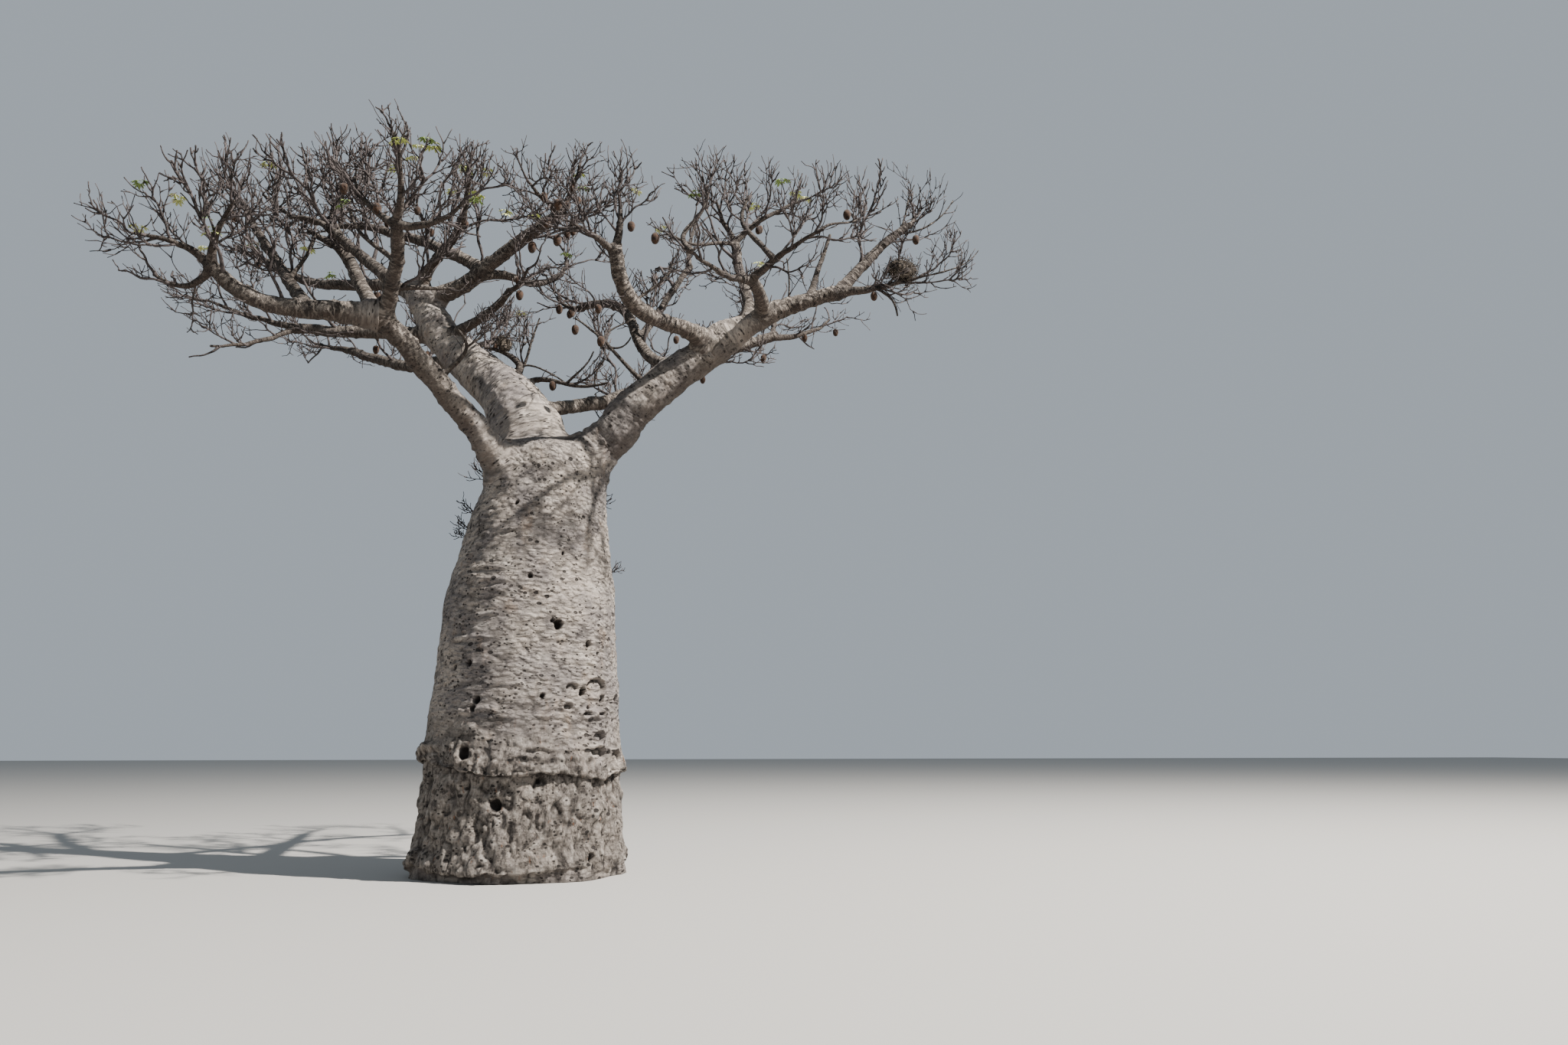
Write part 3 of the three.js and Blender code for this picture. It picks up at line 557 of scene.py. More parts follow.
def add_bough(name, row, order):
    carrier, at, tip, bow, foot, end, *sway = row
    parent = limbs.get(carrier) or stems.get(carrier)
    limb = SimpleNamespace(name=name, parent=carrier, foot=foot, end=end, seed=order + 1)
    limb.start = path(parent, at) if parent else np.array(at, float)
    limb.depth = parent.foot + (parent.end - parent.foot) * at if parent else foot * 1.5
    set_shape(limb, tip, bow, *sway)
    limb.wobble = min(0.34 * (foot + end) / 2, 0.05)
    limb.bend = 0.5 + 1.2 * foot
    add_line(limb, clamp(math.floor(limb.length / LINE_STEP + 0.5), 4, 8))
    limbs[name] = limb


def add_stem(name, row, order):
    carrier, tip, bow, foot, reach, *fruits = row
    stem = SimpleNamespace(name=name, parent=carrier, foot=foot, end=STEM_TIP_RADIUS, reach=reach, depth=0)
    stem.seed = order + FIRST_STEM_SEED
    stem.start = path(limbs[carrier], STEM_START)
    set_shape(stem, tip, bow)
    stem.fruits = sum(fruits)
    stem.wobble = STEM_WOBBLE
    stem.bend = STEM_BEND
    add_line(stem, STEM_PIECES)
    stems[name] = stem


for order, (name, row) in enumerate(BOUGHS.items()):
    add_bough(name, row, order)
for order, (name, row) in enumerate(MASSES.items()):
    add_stem(name, row, order)


def off_pieces(points, a, b, radii_a=None, radii_b=None):
    """How far each point lies from each straight piece from a to b, less the piece's radius there."""
    ab = b - a
    ap = points[:, None, :] - a
    t = np.clip((ap * ab).sum(-1) / (ab * ab).sum(-1), 0, 1)
    gap = np.linalg.norm(ap - t[..., None] * ab, axis=-1)
    return gap if radii_a is None else gap - (radii_a + (radii_b - radii_a) * t)


# Twigs: the seeded rule


def pieces_of(family):
    """Every straight piece of some limbs: its two ends and its wider radius."""
    return (
        np.concatenate([limb.line[:-1] for limb in family]),
        np.concatenate([limb.line[1:] for limb in family]),
        np.concatenate([np.maximum(limb.radii[:-1], limb.radii[1:]) for limb in family]),
    )


BOUGH_PIECES = pieces_of(limbs.values())
STEM_A, STEM_B = pieces_of(stems.values())[:2]


def off_boughs(points, pieces):
    a, b, widest = pieces
    return (off_pieces(points, a, b) - widest).min(axis=1)


def under_dome(points):
    """Whether points lie under the low dome that bounds the crown."""
    out = np.hypot(points[:, 0], points[:, 1] - CROWN_CENTRE_Y) / CROWN_RADIUS
    return bool((points[:, 2] < CROWN_TOP - CROWN_DROOP * out * out).all())


def tested(*corners):
    """The points of a crooked line at which its space is tested."""
    found = []
    for a, b in zip(corners, corners[1:]):
        found += [[p + (q - p) * share for p, q in zip(a, b)] for share in SPACE_TESTS]
    return np.array(found)


def space_of(order):
    """Says whether points keep to a stem's own space: under the dome, nearer to this stem than to any other,
    and clear of every bough."""
    own = slice(order * STEM_PIECES, (order + 1) * STEM_PIECES)

    def holds(points):
        if not under_dome(points):
            return False
        away = off_pieces(points, STEM_A, STEM_B)
        nearest = away[:, own].min(axis=1)
        away[:, own] = np.inf
        if (away.min(axis=1) <= nearest + TWIG_CLEARANCE).any():
            return False
        return bool((off_boughs(points, BOUGH_PIECES) > TWIG_CLEARANCE).all())

    return holds


def clear_of_boughs(*points):
    """Whether points keep to the crown's box and clear of every bough's bark."""
    points = np.array(points)
    if not under_dome(points) or (points < CROWN_LOW).any() or (points > CROWN_HIGH).any():
        return False
    return bool((off_boughs(points, every_piece) > FINE_CLEARANCE).all())


OPENING_MIDDLES, OPENING_HALVES = np.hsplit(np.array(OPENINGS, float), 2)
TWIG_LEAN = 0.08  # a twig's small bends, one way and both ways, as shares of its length
TWIG_JERK = 0.045
FINE_LIFT = 0.26  # how much finer twigs turn up to the light
FORK_LIFT = 0.22
FINEST_LIFT = 0.24
FINEST_FORK_LIFT = 0.14
# Of the finer twigs, from and to: angles in radians, and lengths.
SIDE_TWIG_ANGLES = (0.6, 1.15)
SIDE_TWIG_LENGTHS = (0.24, 0.46)
FORK_TWIG_ANGLES = (0.38, 0.74)
FINE_KINKS = (0.06, 0.36)
FINE_REACHES = (0.62, 0.92)  # as shares of how far the mass reaches
FINEST_STEPS = (0.12, 0.19)
FINEST_ANGLES = (0.7, 1.2)
FINEST_FORK_ANGLES = (0.3, 0.72)
# Which of a twig's own rows of numbers its fine twigs draw from.
FORK_ROW = 20
FINEST_FORK_ROW = 30
SIDE_ROW = 40
BRANCH_ROW = 50
FIRST_SIDE_ROW = 60
twigs = []  # each one: its two ends, the kink between them, its small bends, level, start radius and mass


def in_opening(*points):
    """Whether any of the points shows in one of the openings."""
    shown = seen_at(np.array(points))[:, None]
    return bool((((shown - OPENING_MIDDLES) / OPENING_HALVES) ** 2).sum(axis=-1).min() < 1)


def keep_twig(base, middle, tip, level, thick, group, roll):
    size = math.dist(base, tip)
    twig = SimpleNamespace(base=base, middle=middle, tip=tip, level=level, thick=thick, group=group)
    twig.lean = tuple(TWIG_LEAN * size * (roll() - 0.5) for _ in range(3))
    twig.jerk = tuple(TWIG_JERK * size * (roll() - 0.5) for _ in range(3))
    twigs.append(twig)
    return twig


def kinked(base, first, second, length):
    """The kink and the tip of a twig whose two halves have these headings."""
    middle = moved(base, first, length / 2)
    return middle, moved(middle, second, length / 2)


def point_on(twig, share):
    """A point of a twig's drawn line, which runs through its kink with small bends between."""
    near, far = (1 - share) * (1 - 2 * share), share * (2 * share - 1)
    once, twice = math.sin(2 * math.pi * share), math.sin(4 * math.pi * share)
    centre = 4 * share * (1 - share)
    return tuple(
        near * b + centre * m + far * t + once * lean + twice * jerk
        for b, m, t, lean, jerk in zip(twig.base, twig.middle, twig.tip, twig.lean, twig.jerk)
    )


def parting(twig, share):
    """Where a finer twig leaves another at a share of its length, and the way that one runs there."""
    start = point_on(twig, share)
    return start, towards(start, point_on(twig, share + 0.03))


def side_twigs(twig, places, lengths, seed, thick):
    """Fine twigs that leave a shoot at shares of its length, each turned on from the one before."""
    roll = dice(seed)
    turn = 2 * math.pi * roll()
    for n, share in enumerate(places):
        start, along = parting(twig, clamp(share + 0.07 * (roll() - 0.5), 0.08, 0.97))
        heading = bent(along, drawn(SIDE_TWIG_ANGLES, roll), turn + n * GOLDEN_ANGLE, FINE_LIFT)
        grow_fine(start, heading, drawn(lengths, roll), 3, seed_of(seed, n), twig.group, thick)


def fork_twigs(twig, lengths, seed, thick):
    """Two fine twigs that part at a shoot's tip."""
    roll = dice(seed)
    turn = 2 * math.pi * roll()
    along = towards(twig.middle, twig.tip)
    for n in range(2):
        heading = bent(along, drawn(FORK_TWIG_ANGLES, roll), turn + math.pi * n, FORK_LIFT)
        grow_fine(twig.tip, heading, drawn(lengths, roll), 3, seed_of(seed, n), twig.group, thick)


def within_reach(group, point, share):
    """Whether a point lies no further from its mass's stem than the mass reaches."""
    stem = stems.get(group)
    if stem is None:
        return True
    away = off_pieces(np.array([point]), stem.line[:-1], stem.line[1:]).min()
    return away < stem.reach * share + 0.06


CROWD_CELL = 0.3
CROWD_MOST = {3: 2, 4: 4}  # twig ends of a level that a cell of that size may hold
crowd = {}
# The finest twigs: short spurs, longer ones and those that part at a tip.
SPUR_SHARE = 0.35
SPUR_LENGTHS = (0.03, 0.08)
FINEST_LENGTHS = (0.12, 0.29)
FORK_LENGTHS = (0.1, 0.26)
FINER = 0.82  # each one's start radius as a share of the one's that it leaves


def crowded(point, level):
    """Whether too many twigs already end near a point. If not, counts this one in."""
    cell = (level, *(int(v // CROWD_CELL) for v in point))
    if crowd.get(cell, 0) >= CROWD_MOST[level]:
        return True
    crowd[cell] = crowd.get(cell, 0) + 1
    return False


def grow_fine(base, first, length, level, seed, group, thick):
    """A finer twig than the source's, curving upwards, with those that leave it, clear of the boughs."""
    roll = dice(seed)
    second = bent(first, drawn(FINE_KINKS, roll), 2 * math.pi * roll(), FINE_LIFT)
    middle, tip = kinked(base, first, second, length)
    if not clear_of_boughs(middle, tip) or not within_reach(group, tip, drawn(FINE_REACHES, roll)):
        return
    if in_opening(middle, tip) or crowded(tip, level):
        return
    twig = keep_twig(base, middle, tip, level, thick, group, roll)
    if level == LEVELS:
        return
    turn = 2 * math.pi * roll()
    count = int(length / drawn(FINEST_STEPS, roll))
    for n in range(count):
        share = (n + 0.55 + 0.5 * roll()) / (count + 0.3)
        size = drawn(SPUR_LENGTHS if roll() < SPUR_SHARE else FINEST_LENGTHS, roll)
        angle = drawn(FINEST_ANGLES, roll)
        if share > 0.96 or roll() < 0.12:
            continue
        start, along = parting(twig, share)
        heading = bent(along, angle, turn + n * GOLDEN_ANGLE, FINEST_LIFT)
        grow_fine(start, heading, size, level + 1, seed_of(seed, n), group, thick * FINER)
    if roll() < 0.6:
        turn = 2 * math.pi * roll()
        for n in range(2):
            heading = bent(second, drawn(FINEST_FORK_ANGLES, roll), turn + math.pi * n, FINEST_FORK_LIFT)
            size = drawn(FORK_LENGTHS, roll)
            row = seed_of(seed, FINEST_FORK_ROW + n)
            grow_fine(tip, heading, size, level + 1, row, group, thick * FINER)


def grow_shoot(base, first, length, level, seed, holds, group, thick, drawn_base=None):
    """A source shoot with the side shoots that leave it. Gives its kink, or nothing where it would leave its
    space."""
    roll = dice(seed)
    second = bent(first, KINK * (0.4 + roll()), 2 * math.pi * roll())
    middle, tip = kinked(base, first, second, length)
    if not holds(tested(base, middle, tip)):
        return None
    turn = 2 * math.pi * roll()
    if level == SOURCE_LEVELS:
        if in_opening(middle, tip):
            return middle
        cut = length * LAST_SOURCE_CUT
        twig = keep_twig(base, *kinked(base, first, second, cut), level, thick, group, roll)
        lengths = (0.14 + 0.2 * length, 0.26 + 0.32 * length)
        fork_twigs(twig, lengths, seed_of(seed, FORK_ROW), thick * THINNER)
        count = int(cut / 0.17) + 1
        places = [(n + 0.6) / (count + 0.2) for n in range(count)]
        side_twigs(twig, places, lengths, seed_of(seed, SIDE_ROW), thick * SIDE_THINNER[2])
        return middle
    twig = keep_twig(drawn_base or base, middle, tip, level, thick, group, roll)
    # The source rolls on from here, so the rolls that the twig's small bends took are handed back.
    roll = dice(seed)
    for _ in range(3):
        roll()
    for n in range(SIDE_AT_TIP + 1):
        start, along = (middle, first) if n == SIDE_AT_TIP else (tip, second)
        angle = SIDE_ANGLE * (0.7 + 0.6 * roll())
        side_turn = turn + 2 * math.pi * (n + 0.5) / SIDE_AT_TIP
        side_length = length * SIDE_SHARE * (0.75 + 0.5 * roll())
        heading = bent(along, angle, side_turn)
        grow_shoot(start, heading, side_length, level + 1, seed_of(seed, n), holds, group, thick * THINNER)
    count = int(length / 0.18)
    places = [0.14 + 0.84 * (n + 0.5) / count for n in range(count)]
    side_twigs(twig, places, SIDE_TWIG_LENGTHS, seed_of(seed, FIRST_SIDE_ROW), thick * SIDE_THINNER[1])
    return middle


FIRST_THICK = 0.0185  # a first shoot's radius where it leaves its stem
# Start radii as shares of the one's that they leave: a side shoot's, and those of fine twigs by level.
THINNER = 0.74
SIDE_THINNER = {1: 0.46, 2: 0.66}
FRUIT_HANG = 0.345  # how far a fruit reaches down from the kink that it hangs from


def first_shoots(stem, order, seed):
    """Grows a stem's first shoots, and notes where its fruits hang."""
    roll = dice(seed)
    holds = space_of(order)
    phase = 2 * math.pi * roll()
    kinks = []
    for n in range(FIRST_COUNT):
        step = (n + 0.5 * roll()) / (FIRST_COUNT - 0.5)
        share = FIRST_FROM + (1 - FIRST_FROM) * step
        place = share * STEM_PIECES
        k = int(place)
        a, b = stem.line[k], stem.line[k + 1]
        base = tuple(a + (b - a) * (place - k))
        angle = FIRST_ANGLE * (1.1 - 0.5 * share) * (0.8 + 0.4 * roll())
        length = stem.reach * FIRST_SHARE * (0.85 + 0.3 * roll())
        heading = bent(towards(a, b), angle, phase + n * GOLDEN_ANGLE)
        shares = stem.line_shares
        skin = tuple(crooked_path(stem, shares[k] + (shares[k + 1] - shares[k]) * (place - k)))
        middle = grow_shoot(base, heading, length, 1, seed_of(seed, n), holds, stem.name, FIRST_THICK, skin)
        if middle is not None and holds(tested(middle, moved(middle, UP, -FRUIT_HANG))):
            kinks.append(middle)
    stem.fruit_places = kinks[: stem.fruits]


every_piece = BOUGH_PIECES  # what fine twigs keep clear of
seed = FIRST_SEED
for order, stem in enumerate(stems.values()):
    seed = seed_of(seed, 5)
    first_shoots(stem, order, seed)

for order, (name, row) in enumerate(SIDE_BOUGHS.items()):
    add_bough(name, row, order + FIRST_SIDE_SEED)
every_piece = pieces_of(limbs.values())

THICKEST_DRESSED = 0.2  # the widest foot of a bough that twigs stand along
BOUGH_TWIG_STEP = 0.26
BOUGH_TWIG_THICK = 0.0092
BRANCH_STEP = 0.34
# Long and short side branches in turn: their lengths, start radii and level.
BRANCHES = (((0.8, 1.35), (0.021, 0.027), 1), ((0.4, 0.85), (0.0125, 0.0165), 2))
BRANCH_KINKS = (0.25, 0.75)
BRANCH_ANGLES = (0.6, 1.05)
BRANCH_FORKS = (0.45, 0.7, 1.0, 1.0)  # where its own branches leave a long one
BRANCH_FORK_ANGLES = (0.45, 0.85)
BRANCH_FORK_SHARES = (0.36, 0.58)
BRANCH_TWIG_LENGTHS = (0.16, 0.38)
BRANCH_TIP_LENGTHS = (0.2, 0.38)
BRANCH_THINNER = 0.72
BRANCH_TWIG_THINNER = {1: 0.5, 2: 0.7}
BRANCH_TIP_THINNER = {1: 0.6, 2: THINNER}
BRANCH_LIFT = 0.2
BOUGH_TWIG_ANGLES = (0.75, 1.25)
BOUGH_TWIG_LENGTHS = (0.22, 0.52)
BOUGH_TWIG_LIFT = 0.3


def grow_branch(base, first, length, level, seed, group, thick):
    """A side branch with a kink: finer branches or twigs leave it along its length and part at its tip."""
    roll = dice(seed)
    second = bent(first, drawn(BRANCH_KINKS, roll), 2 * math.pi * roll(), FINE_LIFT)
    middle, tip = kinked(base, first, second, length)
    if not clear_of_boughs(moved(base, first, length * 0.3), middle, tip) or in_opening(middle, tip):
        return
    twig = keep_twig(base, middle, tip, level, thick, group, roll)
    if level == 1:
        turn = 2 * math.pi * roll()
        for n, share in enumerate(BRANCH_FORKS):
            start = point_on(twig, min(share, 0.99))
            along = first if share < 0.5 else second
            heading = bent(along, drawn(BRANCH_FORK_ANGLES, roll), turn + 2.2 * n, BRANCH_LIFT)
            size = length * drawn(BRANCH_FORK_SHARES, roll)
            grow_branch(start, heading, size, 2, seed_of(seed, n), group, thick * BRANCH_THINNER)
    count = int(length / 0.15)
    places = [0.2 + 0.78 * (n + 0.5) / count for n in range(count)]
    side_thick, tip_thick = thick * BRANCH_TWIG_THINNER[level], thick * BRANCH_TIP_THINNER[level]
    side_twigs(twig, places, BRANCH_TWIG_LENGTHS, seed_of(seed, SIDE_ROW), side_thick)
    fork_twigs(twig, BRANCH_TIP_LENGTHS, seed_of(seed, FORK_ROW), tip_thick)


def leaving(limb, share, angle, turn):
    """Where and which way a twig leaves a limb: inside its bark, clear of it, and its heading."""
    spot, ahead = crooked_path(limb, np.array([share, min(share + 0.02, 1.02)]))
    radius = float(radius_along(limb, share))
    heading = bent(towards(spot, ahead), angle, turn, BOUGH_TWIG_LIFT)
    return moved(tuple(spot), heading, radius * 0.5), moved(tuple(spot), heading, radius + 0.06), heading


def dress_limb(limb, seed):
    """Short twigs along the outer part of a bough or stem, and side branches along that of a bough."""
    roll = dice(seed)
    is_stem = limb.name in stems
    first_share = 0.12 if is_stem else clamp(0.2 + 2.0 * (limb.foot - 0.06), 0.15, 0.45)
    count = int(limb.length * (1 - first_share) / BOUGH_TWIG_STEP)
    for n in range(count):
        share = first_share + (1 - first_share) * (n + roll()) / count
        angle = drawn(BOUGH_TWIG_ANGLES, roll)
        base, skin, heading = leaving(limb, share, angle, n * GOLDEN_ANGLE + roll())
        length = drawn(BOUGH_TWIG_LENGTHS, roll) * (0.85 if is_stem else 1.0)
        if clear_of_boughs(moved(skin, heading, length * 0.4), moved(skin, heading, length * 0.8)):
            grow_fine(base, heading, length, 3, seed_of(seed, n), limb.name, BOUGH_TWIG_THICK)
    if is_stem:
        return
    count = int(limb.length * (1 - first_share) / BRANCH_STEP)
    for n in range(count):
        share = first_share + (0.97 - first_share) * (n + roll()) / count
        lengths, thicks, level = BRANCHES[n % 2]
        length = drawn(lengths, roll) * clamp(limb.foot / 0.06, 0.35, 1)
        angle = drawn(BRANCH_ANGLES, roll)
        base, skin, heading = leaving(limb, share, angle, (n + 0.5) * GOLDEN_ANGLE + 2 * roll())
        thick = min(drawn(thicks, roll), 0.75 * float(radius_along(limb, share)))
        if clear_of_boughs(moved(skin, heading, 0.1)):
            grow_branch(base, heading, length, level, seed_of(seed, BRANCH_ROW + n), limb.name, thick)


for limb in [*limbs.values(), *stems.values()]:
    if limb.foot <= THICKEST_DRESSED:
        seed = seed_of(seed, limb.seed)
        dress_limb(limb, seed)

SPRAY_GROUP = "middle_limb"  # sprays on the trunk are joined to this limb's twigs
SPRAY_TWIGS = 4
SPRAY_THICK = 0.0062
SPRAY_TIP_THICK = 0.0052
SPRAY_DEPTH = 0.04


def grow_spray(turn, height, length, seed):
    """A few short twigs that leave the trunk at one spot."""
    roll = dice(seed)
    around = math.radians(turn)
    away = (math.cos(around), math.sin(around), 0.0)
    lean, radius = (
        float(np.interp(height, STATION_HEIGHTS, values)) for values in (STATION_LEANS, STATION_RADII)
    )
    root = moved((lean, 0.0, height), away, radius - SPRAY_DEPTH)
    for n in range(SPRAY_TWIGS):
        first = bent(away, 0.2 + 0.4 * roll(), n * GOLDEN_ANGLE + roll(), 0.35)
        reach = length * (0.6 + 0.5 * roll()) + SPRAY_DEPTH
        second = bent(first, 0.4 * roll(), 2 * math.pi * roll(), 0.3)
        twig = keep_twig(root, *kinked(root, first, second, reach), 3, SPRAY_THICK, SPRAY_GROUP, roll)
        for k in range(4):
            side = bent(first, 0.6 + 0.4 * roll(), n + k * GOLDEN_ANGLE, 0.3)
            base = point_on(twig, 0.35 + 0.18 * k)
            size = reach * (0.25 + 0.3 * roll())
            ends = kinked(base, side, bent(side, 0.3, k, 0.2), size)
            keep_twig(base, *ends, 4, SPRAY_TIP_THICK, SPRAY_GROUP, roll)


for turn, height, length in BARK_SPRAYS:
    seed = seed_of(seed, 3)
    grow_spray(turn, height, length, seed)

# Meshes


def mesh_of(name, points, quads, triangles, materials, uv=None, values=None):
    """A smooth mesh from arrays. uv holds one pair for each corner, those of the quads first, and values
    holds named numbers for each point."""
    mesh = bpy.data.meshes.new(name)
    corners = np.concatenate([np.asarray(quads).ravel(), np.asarray(triangles).ravel()]).astype(np.int32)
    sizes = np.repeat([4, 3], [len(quads), len(triangles)]).astype(np.int32)
    mesh.vertices.add(len(points))
    mesh.vertices.foreach_set("co", np.asarray(points, np.float32).ravel())
    mesh.loops.add(len(corners))
    mesh.loops.foreach_set("vertex_index", corners)
    mesh.polygons.add(len(sizes))
    mesh.polygons.foreach_set("loop_start", (np.cumsum(sizes) - sizes).astype(np.int32))
    mesh.polygons.foreach_set("use_smooth", np.ones(len(sizes), bool))
    if uv is not None:
        layer = mesh.uv_layers.new(name="bark")
        layer.data.foreach_set("uv", np.asarray(uv, np.float32).ravel())
    for key, column in (values or {}).items():
        layer = mesh.attributes.new(key, "FLOAT", "POINT")
        layer.data.foreach_set("value", np.asarray(column, np.float32).ravel())
    for material in materials:
        mesh.materials.append(material)
    mesh.update(calc_edges=True)
    mesh.validate()
    return link_mesh(name, mesh)


def joined(parts):
    """Several bodies, each (points, quads, triangles), as one."""
    points, *faces = zip(*parts)
    shifts = np.cumsum([0, *map(len, points)])
    return np.concatenate(points), *(
        np.concatenate([body + shift for body, shift in zip(bodies, shifts)]) for bodies in faces
    )


def grid_faces(rows, columns):
    """Quads over rows of points that close round on themselves, and fans to a first and a last point."""
    k = np.arange(columns)
    after = (k + 1) % columns
    j = (np.arange(rows - 1) * columns)[:, None]
    quads = np.stack([j + k, j + after, j + columns + after, j + columns + k], axis=-1)
    first, top = rows * columns, (rows - 1) * columns
    foot = np.stack([np.full(columns, first), after, k], axis=-1)
    head = np.stack([np.full(columns, first + 1), top + k, top + after], axis=-1)
    return quads.reshape(-1, 4), np.concatenate([foot, head])


def closed_body(rows, ends):
    """The (points, quads, triangles) of a skin over rows of points, with a point at each end."""
    return np.concatenate([rows.reshape(-1, 3), ends]), *grid_faces(*rows.shape[:2])


def turns_of(columns):
    return 2 * math.pi * np.arange(columns) / columns


def tubes(lines, radii, sides, blunt=0.7):
    """Many closed tubes with the same number of points and sides. lines is (tubes, points, 3)."""
    lines = np.asarray(lines, float)
    radii = np.asarray(radii, float)
    count, length = radii.shape
    along = unit_rows(np.gradient(lines, axis=1))
    mean = unit_rows(lines[:, -1] - lines[:, 0])
    reference = np.where(np.abs(mean[:, 2:3]) > 0.8, [[1.0, 0.1, 0]], [[0.05, 0.1, 1.0]])[:, None, :]
    side = unit_rows(reference - along * (along * reference).sum(-1, keepdims=True))
    across = np.cross(along, side)
    angle = turns_of(sides)[:, None]
    ring = side[:, :, None] * np.cos(angle) + across[:, :, None] * np.sin(angle)
    points = lines[:, :, None] + ring * radii[:, :, None, None]
    first = lines[:, 0] - along[:, 0] * radii[:, :1] * 0.3
    last = lines[:, -1] + along[:, -1] * radii[:, -1:] * blunt
    points = np.concatenate([points.reshape(count, -1, 3), first[:, None], last[:, None]], axis=1)
    quads, fans = grid_faces(length, sides)
    shift = (np.arange(count) * points.shape[1])[:, None, None]
    return points.reshape(-1, 3), (quads + shift).reshape(-1, 4), (fans + shift).reshape(-1, 3)


def grid_uv(around, along, columns):
    """One pair for each face corner of grid_faces. around is a column's width and along each row's place."""
    left, right = np.arange(columns) * around, np.arange(1, columns + 1) * around
    low, high = along[:-1, None], along[1:, None]

    def corners(us, vs):
        pairs = [np.stack(np.broadcast_arrays(u, v), axis=-1) for u, v in zip(us, vs)]
        return np.stack(pairs, axis=-2).reshape(-1, 2)

    middle = (left + right) / 2
    quads = corners((left, right, right, left), (low, low, high, high))
    foot = corners((middle, right, left), along[[0, 0, 0]])
    head = corners((middle, left, right), along[[-1, -1, -1]])
    return np.concatenate([quads, foot, head])


def grid_normals(points):
    """Outward normals of rows of points that close round on themselves."""
    around = np.roll(points, -1, axis=1) - np.roll(points, 1, axis=1)
    along = np.gradient(points, axis=0)
    return unit_rows(np.cross(around, along))


# Where limbs flow into one another

GROWING_STEPS = 7
FAR = 9.0
LIMB_FOLDS = {"right_limb": 1.0, "left_limb": 0.25}  # how far a limb's skin lies in lengthwise folds
# Over what width each great limb runs into the trunk.
LIMB_BLENDS = {"left_limb": 0.3, "middle_limb": 0.24, "right_limb": 0.16}
CAP_ANGLES = (24, 46, 66, 82)  # at which rings lie on a limb's round end
SKIN_FACE_WIDE = 0.023
SKIN_FACE_LONG = (0.013, 0.024)
BOX_MARGIN = 0.1
TRUNK_HEIGHTS = np.arange(0, 6.7, 0.01)
SOFTEN_STEPS = 30
SOFTEN_SPREAD = 11
SOFTEN = np.exp(-0.5 * (np.arange(-SOFTEN_STEPS, SOFTEN_STEPS + 1) / SOFTEN_SPREAD) ** 2)
SOFTEN /= SOFTEN.sum()


def softened(values):
    """The stations' values at every trunk height, with their corners rounded off."""
    rough = np.interp(TRUNK_HEIGHTS, STATION_HEIGHTS, values)
    return np.convolve(np.pad(rough, SOFTEN_STEPS, mode="edge"), SOFTEN, mode="valid")


TRUNK_RADII = softened(STATION_RADII)
TRUNK_LEANS = softened(STATION_LEANS)


def trunk_radius(height):
    return np.interp(height, TRUNK_HEIGHTS, TRUNK_RADII)


def trunk_lean(height):
    return np.interp(height, TRUNK_HEIGHTS, TRUNK_LEANS)


def off_trunk(p):
    """How far points lie from the trunk's plain form, whose top edge is rounded."""
    side = np.hypot(p[..., 0] - trunk_lean(p[..., 2]), p[..., 1]) - trunk_radius(p[..., 2])
    top = p[..., 2] - TRUNK_TOP
    blend = np.maximum(TOP_ROUNDING - np.abs(side - top), 0) / TOP_ROUNDING
    return np.maximum(side, top) + blend * blend * TOP_ROUNDING / 4


def prepare(limb, pieces):
    """Gives a limb the line, radii and box of its bark."""
    share = np.linspace(0, 1, pieces + 1)
    limb.skin = crooked_path(limb, share)
    limb.skin_radii = radius_along(limb, share)
    limb.low = (limb.skin - limb.skin_radii[:, None]).min(axis=0)
    limb.high = (limb.skin + limb.skin_radii[:, None]).max(axis=0)


for limb in limbs.values():
    prepare(limb, clamp(int(limb.length / 0.13), 10, 26))
for stem in stems.values():
    prepare(stem, 9)

EVERY_LIMB = {**limbs, **stems}


def off_limb(limb, p):
    """How far points lie from a limb's plain form, or far where they lie away from its box."""
    flat = p.reshape(-1, 3)
    near = ((flat > limb.low - 0.3) & (flat < limb.high + 0.3)).all(axis=1)
    gap = np.full(len(flat), FAR)
    if near.any():
        line, radii = limb.skin, limb.skin_radii
        gap[near] = off_pieces(flat[near], line[:-1], line[1:], radii[:-1], radii[1:]).min(axis=1)
    return gap.reshape(p.shape[:-1])


def neighbours(limb):
    """The limbs whose boxes meet a limb's, with how softly each flows into it."""
    low, high = limb.low - BOX_MARGIN, limb.high + BOX_MARGIN
    found = []
    for other in EVERY_LIMB.values():
        if other is not limb and (other.low < high).all() and (other.high > low).all():
            thinner = min(limb.foot, other.foot)
            found.append((other, clamp(0.75 * thinner, 0.012, 0.2)))
    return found


def soft_union(own, others):
    """Joins distances so that shapes flow into one another, and tells the least of the others."""
    field, least = own, np.full(own.shape, FAR)
    for gap, soft in others:
        blend = np.maximum(soft - np.abs(field - gap), 0) / soft
        field = np.minimum(field, gap) - blend * blend * soft / 4
        least = np.minimum(least, gap)
    return field, least


def grown_out(origin, ray, reach, most, gaps_at):
    """Moves each point out along its ray from reach, no further than most, until it is on the joint skin of
    all that meets there. Where another limb is nearer, it stays just under that limb's skin."""
    for _ in range(GROWING_STEPS):
        own, others = gaps_at(origin + ray * reach[..., None])
        reach = np.clip(reach - np.minimum(soft_union(own, others)[0], 0), 0, most)
    own, others = gaps_at(origin + ray * reach[..., None])
    behind = own - soft_union(own, others)[1]
    return reach - np.clip(behind * 0.14, 0, 0.022), behind


def blend_at_trunk(limb):
    return LIMB_BLENDS.get(limb.name, clamp(0.42 * limb.foot, 0.04, 0.13))


